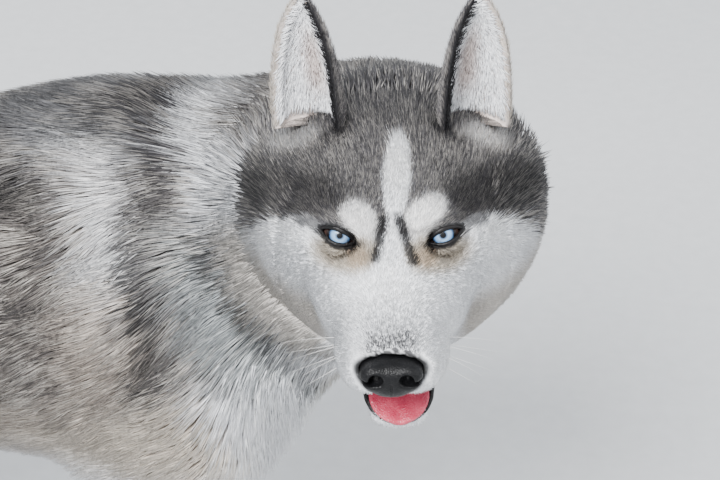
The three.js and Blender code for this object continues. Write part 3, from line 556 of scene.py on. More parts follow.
def tube(path, radii, count=10):
    """A closed tube along a path, with its own radius at each point."""
    path, radii = np.array(path, float), np.asarray(radii, float)
    ahead = np.gradient(path, axis=0)
    ahead /= np.linalg.norm(ahead, axis=1)[:, None]
    aside = np.cross(ahead, (0.13, 0.31, 0.94))
    aside /= np.linalg.norm(aside, axis=1)[:, None]
    up = np.cross(ahead, aside)
    turn = np.linspace(0, 2 * np.pi, count, endpoint=False)
    ring = np.cos(turn)[None, :, None] * aside[:, None] + np.sin(turn)[None, :, None] * up[:, None]
    rings = path[:, None] + ring * radii[:, None, None]
    ends = path[0] - ahead[0] * radii[0] * 0.6, path[-1] + ahead[-1] * radii[-1] * 0.6
    return closed_rings(rings, *ends)


def unit(v):
    return v / np.maximum(np.linalg.norm(v, axis=-1, keepdims=True), 1e-9)


def outward(form, p, reach=2.0):
    """Which way a form grows, at many points."""
    here = form(p)
    steps = [form(p + reach * axis) - here for axis in np.eye(3)]
    return unit(np.stack(steps, -1)), here


def settle(form, p, depth=0.0, rounds=3):
    """Points moved along a form's slope until they lie that far from it."""
    for _ in range(rounds):
        slope, here = outward(form, p)
        p = p - slope * (here - depth)[..., None]
    return p


# Colours of the coat
def paint(red, green, blue):
    s = np.array([red, green, blue]) / 255
    return np.where(s < 0.04045, s / 12.92, ((s + 0.055) / 1.055) ** 2.4)


WHITE, CREAM, TAN = paint(246, 247, 250), paint(222, 211, 196), paint(161, 146, 121)
RUST, GREY, STEEL = paint(150, 112, 82), paint(144, 139, 135), paint(98, 96, 99)
CHARCOAL, BLACK, PALE_TIP = paint(50, 48, 52), paint(17, 16, 18), paint(204, 198, 190)


class Marks:
    """Root and tip colours, with the share of tufts whose tips turn dark or pale."""

    def __init__(self, count):
        self.root = np.tile(WHITE * 0.92, (count, 1))
        self.tip = np.tile(WHITE, (count, 1))
        self.mottle = np.zeros(count)

    def lay(self, share, root, tip=None, mottle=0.0):
        share = np.clip(share, 0, 1)[:, None]
        self.root = self.root * (1 - share) + root * share
        self.tip = self.tip * (1 - share) + (root if tip is None else tip) * share
        self.mottle = self.mottle * (1 - share[:, 0]) + mottle * share[:, 0]


def oval(a, b, centre, radii, tilt=0.0):
    """How far inside an oval a place on the face lies, in millimetres."""
    c, s = math.cos(math.radians(tilt)), math.sin(math.radians(tilt))
    x, y = a - centre[0], b - centre[1]
    k = np.hypot((x * c + y * s) / radii[0], (y * c - x * s) / radii[1])
    return (1 - k) * min(radii)


def streak(a, b, start, end, half):
    start, end = np.array(start, float), np.array(end, float)
    line = end - start
    t = np.clip(((a - start[0]) * line[0] + (b - start[1]) * line[1]) / (line @ line), 0, 1)
    return half - np.hypot(a - start[0] - t * line[0], b - start[1] - t * line[1])


CAP_EDGE = through((0, 2), (12, 2), (30, 6), (42, 8), (57, 15), (70, 14), (90, 4), (120, -16))
CAP_GREY = paint(116, 114, 115)
BLAZE_HALF = through((-40, 24), (-16, 11), (0, 5.4), (10, 3.8), (20, 7), (36, 9.8),
                     (55, 7.6), (66, 4.6), (72, 0))
BLAZE_LEAN = 0.085

# The mask's ovals: centre and radii across and up the face, and tilt. The first four are for the left side.
# Up the face is square to the sight of someone who stands before the dog and looks down at it.
FACE_UP = np.array([-0.545, 0, 0.84])
TEMPLE = ((65, 30), (40, 19), 14)
UNDER_EAR = ((62, 66), (15, 7), -14)
EYE_TAN = ((29, -9), (25, 15), 8)
EYE_RUST = ((22, -12), (8, 7), -20)
BROW_SPOTS = (((-21, 12.5), (13, 9.8), -45), ((21.5, 16.5), (15, 9.4), 34))
# The mask's lines: ends across and up the face, and half width. The first two sets are for the left side.
EAR_CREASE = (((30, 76), (33, 68), 4), ((33, 68), (47, 65), 3))
LID_SHADOWS = (((44, 7), (60, 13), 3.0), ((20, -4), (26, -7), 1.6), ((26, -8), (40, -4), 2.0))
NOSE_STREAKS = (((-6, 11), (-11, -13), 2.8), ((4, 12), (14, -15), 2.8))


def on_side(place, s):
    return place[0] * s, place[1]


def mark_face(marks, q, blur, zone):
    """The mask: grey cap, white blaze and cheeks, cream brow spots, dark temples and tan by the eyes."""
    a = q[:, 1] + blur[:, 0]
    b = q @ FACE_UP + blur[:, 1]
    side = np.abs(a)
    back = -q[:, 0]
    cap = smooth(b - CAP_EDGE(side), -1.5, 2.5) * smooth(back, -30, -14) * zone
    ruff = smooth(side, 90, 99) * smooth(back, 20, 50) * smooth(b, -30, 0)
    marks.lay(ruff * zone * (a < 0), PALE_RUFF, WHITE * 0.9, 0.25)
    cap = cap * np.where(a < 0, smooth(-side, -100, -84), 1)
    marks.lay(cap, CAP_GREY, CAP_GREY, 1.0)
    crown = smooth(b, 60, 80) * smooth(-side, -66, -34)
    marks.lay(crown * cap * 0.6, STEEL, CHARCOAL, 0.7)

    def in_oval(form, s, low, high):
        centre, radii, tilt = form
        return smooth(oval(a, b, on_side(centre, s), radii, tilt * s), low, high)

    def on_line(form, s, low, high):
        start, end, half = form
        return smooth(streak(a, b, on_side(start, s), on_side(end, s), half), low, high)

    for s in (1, -1):
        marks.lay(in_oval(TEMPLE, s, -9, 9) * cap * 0.93, CHARCOAL, BLACK, 0.2)
        crease = np.maximum.reduce([on_line(line, s, -3, 2) for line in EAR_CREASE])
        marks.lay(crease * cap * 0.8, CHARCOAL, BLACK, 0.2)
        marks.lay(in_oval(UNDER_EAR, s, -4, 3) * zone * 0.85, CREAM * 0.8, WHITE * 0.92, 0.1)
    inner = smooth(-side, -26, -12) * smooth(b, 4, 12) * smooth(-b, -70, -56)
    marks.lay(inner * cap * 0.6, STEEL, CHARCOAL, 0.6)
    for s in (1, -1):
        tan = in_oval(EYE_TAN, s, -3, 6)
        marks.lay(tan * 0.9 * zone, TAN * 0.9 + GREY * 0.1, TAN * 0.5 + CREAM * 0.5, 0.35)
        marks.lay(in_oval(EYE_RUST, s, -2, 3) * 0.6 * zone, RUST, TAN)
        for shadow in LID_SHADOWS:
            marks.lay(on_line(shadow, s, -2, 1.5) * 0.8 * zone, CHARCOAL, BLACK)
    for spot in BROW_SPOTS:
        marks.lay(in_oval(spot, 1, -2.6, 2.2) * zone, CREAM * 0.6 + WHITE * 0.4, WHITE * 0.95)
    for s in (1, -1):
        liner = smooth(-eye_opening(q, s), -3.8, -2.0)
        marks.lay(liner * 0.95 * zone, BLACK * 1.4, BLACK)
    blaze = smooth(BLAZE_HALF(b) - np.abs(a - BLAZE_LEAN * b), -1.0, 1.8) * smooth(-b, -72, -66)
    marks.lay(blaze * zone, WHITE * 0.93, WHITE)
    for line in NOSE_STREAKS:
        marks.lay(on_line(line, 1, -2.2, 1.2) * 0.95 * zone, BLACK * 2, BLACK)
    speckle = smooth(q[:, 0], 50, 72) * smooth(q[:, 2], -46, -36) * smooth(-side, -21, -13)
    marks.lay(speckle * (blur[:, 2] > 0.7 - 0.9 * smooth(q[:, 0], 58, 78)) * zone * 0.9, CHARCOAL, BLACK)
    shaded = smooth(side, 38, 50) * smooth(back, -10, 8) * smooth(-q[:, 2], 34, 62)
    marks.lay(shaded * 0.8 * zone, GREY * 0.5 + CREAM * 0.5, GREY * 0.4 + CREAM * 0.6, 0.3)


PALE_RUFF, PALE_BACK, STRIPE = paint(182, 186, 192), paint(196, 198, 203), paint(214, 207, 199)
BEIGE, BROWN_GREY, BLUE_GREY = paint(188, 174, 160), paint(128, 120, 114), paint(174, 180, 182)

# The body's patches: centre and radii across and up the flank, tilt, how soft the edge is, how much it
# covers, colours at the root and the tip, and mottle
FLANK_PATCHES = [
    ((-231, -53), (75, 40), -90, 22, 0.75, BROWN_GREY, BROWN_GREY, 1.0),
    ((-155, 72), (46, 27), -55, 13, 0.95, CHARCOAL, BLACK * 2, 0.3),
    ((-146, 26), (40, 24), -80, 16, 0.75, STEEL, CHARCOAL, 0.5),
    ((-138, -38), (48, 30), -80, 20, 0.7, GREY, GREY * 0.8, 0.7),
    ((-241, 30), (26, 20), -30, 12, 0.9, CHARCOAL, BLACK * 2, 0.2),
    ((-212, 70), (48, 19), -14, 12, 0.9, PALE_BACK, WHITE, 0.15),
    ((-183, 2), (58, 21), -83, 14, 0.92, STRIPE, WHITE * 0.95, 0.1),
    ((-183, -76), (40, 25), -85, 20, 0.7, BEIGE, BEIGE, 0.5),
    ((-108, 42), (60, 19), -71, 9, 0.85, PALE_RUFF, WHITE * 0.9, 0.25),
    ((-90, -60), (64, 34), -50, 16, 0.85, BLUE_GREY, BLUE_GREY, 0.35),
    ((-110, 94), (32, 17), -8, 8, 0.95, WHITE * 0.95, WHITE, 0.0),
    ((-138, -128), (34, 18), 10, 12, 0.7, BEIGE, CREAM, 0.2),
    ((-80, -118), (42, 36), -30, 12, 0.97, WHITE * 0.95, WHITE, 0.0),
]
# Dark lines: ends across and up the flank, half width and cover
FLANK_LINES = [
    ((-166, 6), (-161, -40), 7, 0.85),
    ((-161, -40), (-151, -100), 7, 0.8),
    ((-106, -6), (-84, -40), 6, 0.85),
    ((-84, -40), (-56, -76), 6, 0.9),
]


def on_flank(p):
    """Millimetres across and up the flank from the head, seen obliquely from above, alike on both sides."""
    away = p * np.array([1, 0, 1]) - np.abs(p * np.array([0, 1, 0])) - HEAD_AT
    distance = PHOTO["distance"] * 1000
    scale = distance / (distance - away @ TOWARDS)
    return away @ RIGHT * scale, away @ UP * scale


def waves(p, scale, rng):
    """A slowly changing number over the dog, about as often high as low."""
    ways = unit(rng.normal(0, 1, (7, 3))) * rng.uniform(0.7, 1.5, (7, 1)) * 2 * np.pi / scale
    return np.sin(p @ ways.T + rng.uniform(0, 6.28, 7)).sum(1) / 1.9


def markings(p, rng):
    """The coat's colours at many places on the dog."""
    marks = Marks(len(p))
    blur = rng.normal(0, 0.8, (len(p), 3))
    s = p + blur * 5
    x, y, z = s[:, 0], s[:, 1], s[:, 2]
    q = to_head(p)
    face = smooth(-from_skull(q), -136, -120)
    body = 1 - face
    cut = past_neck(s)
    marks.lay(smooth(z, 300, 372) * body, BEIGE * 0.6 + CREAM * 0.4, CREAM, 0.2)
    marks.lay(smooth(z, 372, 430) * body, GREY, GREY, 1.0)
    across, up = on_flank(s)
    for centre, radii, tilt, soft, share, root, tip, mottle in FLANK_PATCHES:
        inside = smooth(oval(across, up, centre, radii, tilt), -soft, soft)
        marks.lay(inside * share * body * smooth(z, 290, 330), root, tip, mottle)
    for start, end, half, share in FLANK_LINES:
        inside = smooth(streak(across, up, start, end, half), -5, 4)
        marks.lay(inside * share * body * smooth(z, 330, 360), CHARCOAL, BLACK * 2)
    dorsal = smooth(-np.abs(y), -64, -26) * smooth(z, 500, 540) * smooth(-cut, -4, 20)
    marks.lay(dorsal * body * 0.85, CHARCOAL, BLACK * 2, 0.35)
    chest = smooth(cut, 0, 40) * smooth(-z, -470, -430)
    marks.lay(chest * body, WHITE * 0.93, WHITE)
    throat = smooth(cut, 60, 84) * smooth(-z, -520, -492)
    marks.lay(throat * body, WHITE * 0.9, WHITE)
    tail = smooth(-x, 318, 344)
    dark_side = smooth(-x - 0.2 * (420 - z), 318, 372)
    marks.lay(tail * dark_side, GREY, STEEL, 0.8)
    marks.lay(tail * (1 - dark_side), CREAM, WHITE)
    marks.lay(tail * smooth(-z, -262, -236), STEEL, CHARCOAL, 0.2)
    marks.lay(tail * smooth(-np.abs(z - 452), -26, -12) * dark_side, CHARCOAL, BLACK, 0.2)
    mark_face(marks, q, blur, face)
    drift = np.exp(0.07 * waves(p, 60, np.random.default_rng(8)))[:, None]
    marks.root, marks.tip = marks.root * drift, marks.tip * drift
    return marks


def coat_plan(p, n):
    """The lie, length and width of the tufts at many places on the skin, which faces along n there."""
    q = to_head(p)
    face = smooth(-from_skull(q), -142, -118)
    x, y, z = q[:, 0], q[:, 1], q[:, 2]
    side = np.sign(y) * smooth(np.abs(y), 5, 34)
    low = smooth(-z, -12, 28)
    high_lie = np.stack([-np.ones_like(x), 0.25 * side, 0.45 + 0 * x], -1)
    low_lie = np.stack([-0.8 + 0 * x, 0.5 * side, -0.55 + 0 * x], -1)
    head_lie = (high_lie * (1 - low[:, None]) + low_lie * low[:, None]) @ HEAD_TURN.T
    cheek = smooth(-x, 14, 48) * smooth(np.abs(y), 34, 64) * smooth(22 - z, 0, 30)
    under = smooth(-x, 10, 60) * smooth(-z, 62, 88)
    nape = smooth(-x, 84, 124)
    longer = np.maximum.reduce([cheek * TUFT["cheek"], under * TUFT["throat"], nape * TUFT["nape"]])
    head_length = (TUFT["muzzle"] + TUFT["forehead"] * smooth(-x, -34, 0)
                   + TUFT["crown"] * smooth(-x, 6, 54) + longer)

    bx, by, bz = p[:, 0], p[:, 1], p[:, 2]
    flank = np.sign(by) * smooth(np.abs(by), 20, 90)
    lie = np.stack([-0.95 + 0 * bx, 0.1 * flank, -0.42 * np.abs(flank)], -1)
    cut = past_neck(p)
    neck = smooth(cut, -70, 30)
    neck_lie = np.stack([-0.72 + 0 * bx, 0.30 + 0.2 * flank, -0.62 + 0 * bx], -1)
    lie = lie * (1 - neck[:, None]) + neck_lie * neck[:, None]
    chest = smooth(n[:, 0], 0.1, 0.7) * smooth(bx, 120, 170) * smooth(-bz, -540, -470)
    lie = lie * (1 - chest[:, None]) + np.array([-0.15, 0, -1]) * chest[:, None]
    rear = smooth(-bx, 216, 262) * smooth(-bz, -480, -430)
    lie = lie * (1 - rear[:, None]) + np.array([-0.35, 0, -1]) * rear[:, None]
    leg = smooth(-bz, -352, -262)
    lie = lie * (1 - leg[:, None]) + np.array([-0.18, 0, -1]) * leg[:, None]
    paw = smooth(-bz, -58, -30)
    lie = lie * (1 - paw[:, None]) + np.array([0.8, 0, -0.5]) * paw[:, None]
    length = TUFT["body"] + TUFT["ruff"] * neck * (1 + chest) + TUFT["breeches"] * rear
    length = length * (1 - leg) + (TUFT["leg"] + (TUFT["paw"] - TUFT["leg"]) * paw) * leg
    belly = smooth(-n[:, 2], 0.3, 0.8) * smooth(bz, 240, 300)
    length = length * (1 - 0.4 * belly)
    tail = smooth(-bx, 300, 336) * smooth(bz, 190, 240)
    line = np.stack([TAIL_LINE(t) for t in np.linspace(0, 1, 60)])
    nearest = np.argmin(((p[:, None] - line[None]) ** 2).sum(-1), axis=1)
    beyond = line[-1] + unit(line[-1] - line[-4]) * np.linspace(6, 80, 14)[:, None]
    tail_lie = unit(np.concatenate([line, beyond])[nearest + 13] - p)
    lie = lie * (1 - tail[:, None]) + tail_lie * tail[:, None]
    tail_end = smooth(nearest, 44, 59)
    length = length * (1 - tail) + (TUFT["tail"] + (TUFT["tail_tip"] - TUFT["tail"]) * tail_end) * tail

    lie = lie * (1 - face[:, None]) + head_lie * face[:, None]
    length = length * (1 - face) + head_length * face
    seen = smooth(bx, -90, 60)
    width = np.interp(length, (4, 8, 14, 36, 66), (0.8, 1.0, 1.2, 2.0, 2.6)) * (1.25 - 0.45 * seen)
    return lie, length, width


SHARE = 1.0
MOST_TRIANGLES = 190000
TUFTS = {"body": 71000, "tail": 8000, "legs": 34000, "head": 82000, "ear": 9000}


def roots_on(points, triangles, weight, count, rng):
    """So many random places on a mesh of triangles, closer where the weight is high, and the slope there."""
    corners = points[triangles]
    cross = np.cross(corners[:, 1] - corners[:, 0], corners[:, 2] - corners[:, 0])
    reached = np.cumsum(np.linalg.norm(cross, axis=1) * weight)
    face = np.searchsorted(reached, rng.random(int(count * SHARE)) * reached[-1])
    face = np.minimum(face, len(triangles) - 1)
    u, v = rng.random((2, len(face), 1))
    u, v = np.where(u + v > 1, 1 - u, u), np.where(u + v > 1, 1 - v, v)
    a, b, c = (corners[face, i] for i in range(3))
    return a + (b - a) * u + (c - a) * v, unit(cross)[face], face


def coloured(marks, places, rng, stops):
    """A colour for each stop from root to tip, with dark or pale tips where the coat is mottled."""
    count = len(marks.root)
    face = smooth(-from_skull(to_head(places)), -136, -112)
    pick = (0.55 + 0.4 * face) * rng.normal(0, 1, count) + (0.75 - 0.58 * face) * waves(places, 26, rng)
    dark = (smooth(pick, 0.0, 0.9 - 0.4 * face) * marks.mottle * 0.85)[:, None]
    pale = (smooth(-pick, 0.1, 1.0 - 0.3 * face) * marks.mottle * 0.8)[:, None]
    tip = marks.tip * (1 - dark - pale) + (CHARCOAL * 0.9 + GREY * 0.1) * dark + PALE_TIP * pale
    shade = np.exp(rng.normal(0, 0.09, (count, 1)))
    root = marks.root * shade * (1 - 0.35 * marks.mottle * face)[:, None]
    tip = tip * shade
    return [np.clip(root + (tip - root) * t, 0, 1) for t in stops]


SPIKE = np.array([(0, 3, 2), (2, 3, 1), (1, 3, 0), (0, 2, 1)])
BENT = np.array([(0, 3, 5), (0, 5, 2), (2, 5, 4), (2, 4, 1), (1, 4, 3), (1, 3, 0),
                 (3, 6, 5), (5, 6, 4), (4, 6, 3), (0, 2, 1)])
SPIKE_MAP = np.array([(-0.5, 0), (0.5, 0), (0, 0.1), (0, 1)])
BENT_MAP = np.array([(-0.5, 0), (0.5, 0), (0, 0.1), (-0.4, 0.5), (0.4, 0.5), (0, 0.6), (0, 1)])
TUFT_PATCH = 0.003


def ring(centre, across, rise, width):
    half = across * (width / 2)[:, None]
    return [centre - half, centre + half, centre + rise * (width * 0.4)[:, None]]


def grow(form, roots, normal, lie, length, width, rng):
    """Tufts from their roots out to the coat's outer form, bowed so that they lie along it."""
    count = len(roots)
    lie = unit(lie)
    lie = unit(lie - (lie * normal).sum(-1, keepdims=True) * normal)
    stray = np.interp(length, (5, 40), (0.16, 0.1))
    lie = unit(lie + np.cross(normal, lie) * (rng.normal(0, 1, count) * stray)[:, None])
    lie = unit(lie + np.cross(normal, lie) * (0.16 * waves(roots, 70, rng))[:, None])
    length = length * rng.uniform(0.72, 1.18, count)
    width = width * rng.uniform(0.75, 1.25, count)
    sunk = roots - normal * 0.8
    depth = np.maximum(-form(roots), 0.3)
    reach = np.maximum(length**2 - depth**2, (length * 0.4) ** 2) ** 0.5
    tip = roots + lie * reach[:, None] + normal * depth[:, None]
    low_tip = np.clip(rng.normal(-0.1, 0.07, count), -0.4, 0.05) * np.maximum(depth, 2)
    tip = tip - normal * np.clip(form(tip) - low_tip, -length * 0.6, length * 0.6)[:, None]
    middle = roots * 0.5 + tip * 0.5
    sag = np.clip(form(middle) + depth * 0.5, -length * 0.4, length * 0.4)
    middle = middle - normal * sag[:, None]
    across = unit(np.cross(normal, tip - roots))
    return sunk, middle, tip, across, normal, width


def tuft_mesh(sunk, middle, tip, across, normal, width, colours, uv, bent):
    """Points, triangles, colours and map of many tufts: bent ones have a waist, and spikes have none."""
    root, waist, end = colours
    if bent:
        rings = ring(sunk, across, normal, width * 0.8) + ring(middle, across, normal, width)
        tones = np.stack([root] * 3 + [waist] * 3 + [end], 1)
    else:
        rings = ring(sunk, across, normal, width)
        tones = np.stack([root] * 3 + [end], 1)
    stack = np.stack(rings + [tip], 1)
    size = stack.shape[1]
    patches = uv[:, None, :] + (BENT_MAP if bent else SPIKE_MAP) * TUFT_PATCH
    faces = np.arange(len(stack))[:, None, None] * size + (BENT if bent else SPIKE)
    faces = faces.reshape(-1, 3)
    return stack.reshape(-1, 3), faces, tones.reshape(-1, 3), patches.reshape(-1, 2)


# Materials: each reads the object's coordinates, its own colours or its own map
def new_material(name, roughness, specular=0.4):
    made = bpy.data.materials.new(name)
    made.use_nodes = True
    shader = made.node_tree.nodes["Principled BSDF"]
    shader.inputs["Roughness"].default_value = roughness
    shader.inputs["Specular IOR Level"].default_value = specular
    return made, made.node_tree, shader


def object_noise(tree, scale, detail=3.0, stretch=(1, 1, 1)):
    place = tree.nodes.new("ShaderNodeTexCoord")
    shape = tree.nodes.new("ShaderNodeMapping")
    shape.inputs["Scale"].default_value = stretch
    noise = tree.nodes.new("ShaderNodeTexNoise")
    noise.inputs["Scale"].default_value = scale
    noise.inputs["Detail"].default_value = detail
    tree.links.new(place.outputs["Object"], shape.inputs["Vector"])
    tree.links.new(shape.outputs["Vector"], noise.inputs["Vector"])
    return noise.outputs["Fac"]


def add_bump(tree, shader, height, strength, distance):
    bump = tree.nodes.new("ShaderNodeBump")
    bump.inputs["Strength"].default_value = strength
    bump.inputs["Distance"].default_value = distance
    tree.links.new(height, bump.inputs["Height"])
    tree.links.new(bump.outputs["Normal"], shader.inputs["Normal"])


def add_ramp(tree, value, stops):
    ramp = tree.nodes.new("ShaderNodeValToRGB")
    while len(ramp.color_ramp.elements) < len(stops):
        ramp.color_ramp.elements.new(0.5)
    for element, (place, colour) in zip(ramp.color_ramp.elements, stops):
        element.position = place
        element.color = (*colour, 1)
    tree.links.new(value, ramp.inputs["Fac"])
    return ramp.outputs["Color"]


def roughness_from(tree, shader, value, low, high):
    span = tree.nodes.new("ShaderNodeMapRange")
    span.inputs["To Min"].default_value = low
    span.inputs["To Max"].default_value = high
    tree.links.new(value, span.inputs["Value"])
    tree.links.new(span.outputs["Result"], shader.inputs["Roughness"])


def coat_material(name, deep):
    """Hair coloured by its own points, a little uneven, duller where the noise is high."""
    made, tree, shader = new_material(name, 0.6, 0.25)
    colour = tree.nodes.new("ShaderNodeVertexColor")
    colour.layer_name = "Coat"
    strands = object_noise(tree, 420, 2, (1, 1, 0.35))
    shade = add_ramp(tree, strands, [(0.3, (deep, deep, deep)), (0.62, (1, 1, 1))])
    mix = tree.nodes.new("ShaderNodeMix")
    mix.data_type, mix.blend_type = "RGBA", "MULTIPLY"
    mix.inputs["Factor"].default_value = 1
    tree.links.new(colour.outputs["Color"], mix.inputs["A"])
    tree.links.new(shade, mix.inputs["B"])
    tree.links.new(mix.outputs["Result"], shader.inputs["Base Color"])
    roughness_from(tree, shader, strands, 0.5, 0.78)
    add_bump(tree, shader, strands, 0.35, 0.0006)
    return made


def leather_material(name, low, high, grain, roughness, depth, specular=0.5):
    """Pebbled bare skin: small cells, and colour between two tones."""
    made, tree, shader = new_material(name, roughness[0], specular)
    place = tree.nodes.new("ShaderNodeTexCoord")
    cells = tree.nodes.new("ShaderNodeTexVoronoi")
    cells.inputs["Scale"].default_value = grain
    tree.links.new(place.outputs["Object"], cells.inputs["Vector"])
    broad = object_noise(tree, grain * 0.12)
    tree.links.new(add_ramp(tree, broad, [(0.35, low), (0.7, high)]), shader.inputs["Base Color"])
    roughness_from(tree, shader, broad, *roughness)
    add_bump(tree, shader, cells.outputs["Distance"], 0.6, depth)
    return made


def maths(tree, operation, a, b=None):
    node = tree.nodes.new("ShaderNodeMath")
    node.operation = operation
    for socket, value in zip(node.inputs, (a, b)):
        if isinstance(value, (int, float)):
            socket.default_value = value
        elif value is not None:
            tree.links.new(value, socket)
    return node.outputs["Value"]


EYE_MAP = 40.0


def eye_material():
    """A pale blue iris with fibres, a dark rim and a small pupil, read from the eye's own map."""
    made, tree, shader = new_material("wet_eye", 0.06, 0.2)
    uv = tree.nodes.new("ShaderNodeUVMap")
    uv.uv_map = "Gaze"
    parts = tree.nodes.new("ShaderNodeSeparateXYZ")
    tree.links.new(uv.outputs["UV"], parts.inputs["Vector"])
    x = maths(tree, "MULTIPLY", maths(tree, "SUBTRACT", parts.outputs["X"], 0.5), EYE_MAP)
    y = maths(tree, "MULTIPLY", maths(tree, "SUBTRACT", parts.outputs["Y"], 0.5), EYE_MAP)
    squared = maths(tree, "ADD", maths(tree, "MULTIPLY", x, x), maths(tree, "MULTIPLY", y, y))
    radius = maths(tree, "SQRT", squared)
    spokes = tree.nodes.new("ShaderNodeCombineXYZ")
    around_x = maths(tree, "DIVIDE", x, maths(tree, "ADD", radius, 0.2))
    around_y = maths(tree, "DIVIDE", y, maths(tree, "ADD", radius, 0.2))
    tree.links.new(maths(tree, "MULTIPLY", around_x, 7.0), spokes.inputs["X"])
    tree.links.new(maths(tree, "MULTIPLY", around_y, 7.0), spokes.inputs["Y"])
    tree.links.new(maths(tree, "MULTIPLY", radius, 0.35), spokes.inputs["Z"])
    fibres = tree.nodes.new("ShaderNodeTexNoise")
    fibres.inputs["Scale"].default_value = 2.4
    fibres.inputs["Detail"].default_value = 5
    tree.links.new(spokes.outputs["Vector"], fibres.inputs["Vector"])
    wander = maths(tree, "MULTIPLY", maths(tree, "SUBTRACT", fibres.outputs["Fac"], 0.5), 1.3)
    place = maths(tree, "DIVIDE", maths(tree, "ADD", radius, wander), 10.0)
    pupil, rim = IRIS["pupil"] / 10, IRIS["radius"] / 10
    colours = add_ramp(tree, place, [
        (pupil - 0.03, (0.002, 0.002, 0.003)),
        (pupil + 0.04, paint(92, 116, 146)),
        (pupil + 0.13, paint(136, 168, 202)),
        (rim - 0.2, paint(114, 148, 188)),
        (rim - 0.09, paint(52, 76, 108)),
        (rim - 0.02, paint(8, 10, 15)),
        (rim + 0.06, paint(26, 19, 18)),
        (rim + 0.24, paint(66, 50, 46)),
    ])
    tree.links.new(colours, shader.inputs["Base Color"])
    shader.inputs["Coat Weight"].default_value = 0.35
    shader.inputs["Coat Roughness"].default_value = 0.015
    roughness_from(tree, shader, fibres.outputs["Fac"], 0.12, 0.3)
    add_bump(tree, shader, fibres.outputs["Fac"], 0.15, 0.0003)
    return made


HAIR = coat_material("guard_hair", 0.82)
UNDERCOAT = coat_material("undercoat_skin", 0.7)
WET_EYE = eye_material()
NOSE_LEATHER = leather_material(
    "nose_leather", paint(5, 5, 6), paint(15, 15, 17), 900, (0.34, 0.5), 0.0004, 0.2)
LIP_LEATHER = leather_material(
    "lip_and_lid_leather", paint(7, 7, 8), paint(20, 17, 18), 700, (0.36, 0.56), 0.0003, 0.25)
WET_TONGUE = leather_material(
    "wet_tongue", paint(160, 40, 64), paint(190, 68, 88), 1100, (0.18, 0.34), 0.0005)
BRISTLE = leather_material(
    "whisker_bristle", paint(205, 203, 200), paint(235, 233, 230), 500, (0.3, 0.45), 0.0001)
HORN = leather_material(
    "claw_horn", paint(30, 26, 25), paint(74, 64, 58), 300, (0.3, 0.5), 0.0002)


# Skins
def skinned(name, points, faces, nodes, strength):
    marks = markings(points, np.random.default_rng(4))
    colours = np.clip((marks.root * 0.5 + marks.tip * 0.5) * strength[:, None], 0, 1)
    piece = new_piece(name, points, faces, "coat", UNDERCOAT, colours)
    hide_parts(*nodes)
    return piece


body_low, body_high = (-480, -190, -4), (420, 190, 690)
body_points, body_faces = surface_of(
    lambda p: np.maximum(skin_field(p), -head_zone(p)), body_low, body_high, 5)
head_low, head_high = HEAD_AT + np.array([-140, -150, -150]), HEAD_AT + np.array([140, 140, 110])
head_points, head_faces = surface_of(
    lambda p: np.maximum(face_field(p), head_zone(p)), head_low, head_high, 1.7)
LIMBS = ("foreleg", "forepaw", "thigh", "shank", "hindpaw")
LIMB_NODES = [f"{limb_name}_{side}" for limb_name in LIMBS for side in SIDES]
skinned("skin_body", body_points, body_faces, ["torso", "neck", "tail_base", "tail_brush", *LIMB_NODES],
        np.full(len(body_points), 0.8))
nose_seat = smooth(nose_form(to_head(head_points)), 1.5, 3.5)
skinned("skin_head", head_points, head_faces, ["head", "jaw"], 0.03 + 0.82 * nose_seat)


# Eyes, lids, nose and tongue
def eye_ball(side):
    """An eyeball about its gaze, a little fuller over the iris, with its map laid flat to the gaze."""
    centre, _ = eye_frame(side)
    level = Vector((0, 0, 1)).cross(GAZE).normalized()
    basis = np.array([level, GAZE.cross(level), GAZE]).T
    polar = np.radians(np.concatenate([np.linspace(3, 48, 24), np.linspace(53, 172, 18)]))
    turn = np.linspace(0, 2 * np.pi, 64, endpoint=False)
    cornea = math.asin(IRIS["radius"] / EYE["radius"])
    full = EYE["radius"] + IRIS["bulge"] * (1 - smooth(polar, cornea * 0.35, cornea * 1.15)) - 0.3
    rings = np.stack([np.sin(polar)[:, None] * np.cos(turn), np.sin(polar)[:, None] * np.sin(turn),
                      np.cos(polar)[:, None] + 0 * turn], -1) * full[:, None, None]
    ends = (0, 0, full[0]), (0, 0, -full[-1])
    points, triangles = closed_rings(rings, *ends)
    uvs = points[:, :2] / EYE_MAP + 0.5
    name = "left" if side > 0 else "right"
    points = from_head(points @ basis.T + centre)
    piece = new_piece(f"eyeball_{name}", points, triangles, "eye", WET_EYE, uvs=uvs)
    piece.data.uv_layers[0].name = "Gaze"
    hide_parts(f"eye_{name}")


def lid_rims(side):
    """Black rims along both lids, resting on the lids' own edges."""
    centre, basis = eye_frame(side)
    along_lid = np.linspace(-LIDS["half"] + 0.5, LIDS["half"] - 0.5, 33)
    name = "left" if side > 0 else "right"
    for lid, heights in zip(("upper", "lower"), lid_edges(along_lid)):
        deep = np.full(len(along_lid), 16.0)
        for _ in range(24):
            e = np.stack([along_lid, heights, deep], -1)
            gap = shut_face(from_head(e @ basis.T + centre))
            deep = deep - np.clip(gap, -2, 2) * 0.6
        seat = np.sqrt(np.maximum((EYE["radius"] + 1.1) ** 2 - along_lid**2 - heights**2, 0))
        corner = smooth(np.abs(along_lid), LIDS["half"] * 0.6, LIDS["half"] * 0.95)
        e = np.stack([along_lid, heights, seat + (np.maximum(deep - 0.9, seat) - seat) * corner], -1)
        radii = LIDS["rim"] * (0.55 + 0.45 * np.cos(along_lid / LIDS["half"] * np.pi / 2))
        points, triangles = tube(from_head(e @ basis.T + centre), radii * (1.15 if lid == "upper" else 0.9))
        new_piece(f"{lid}_lid_rim_{name}", points, triangles, "nose_leather", LIP_LEATHER)


for eye_side in SIDES.values():
    eye_ball(eye_side)
    lid_rims(eye_side)

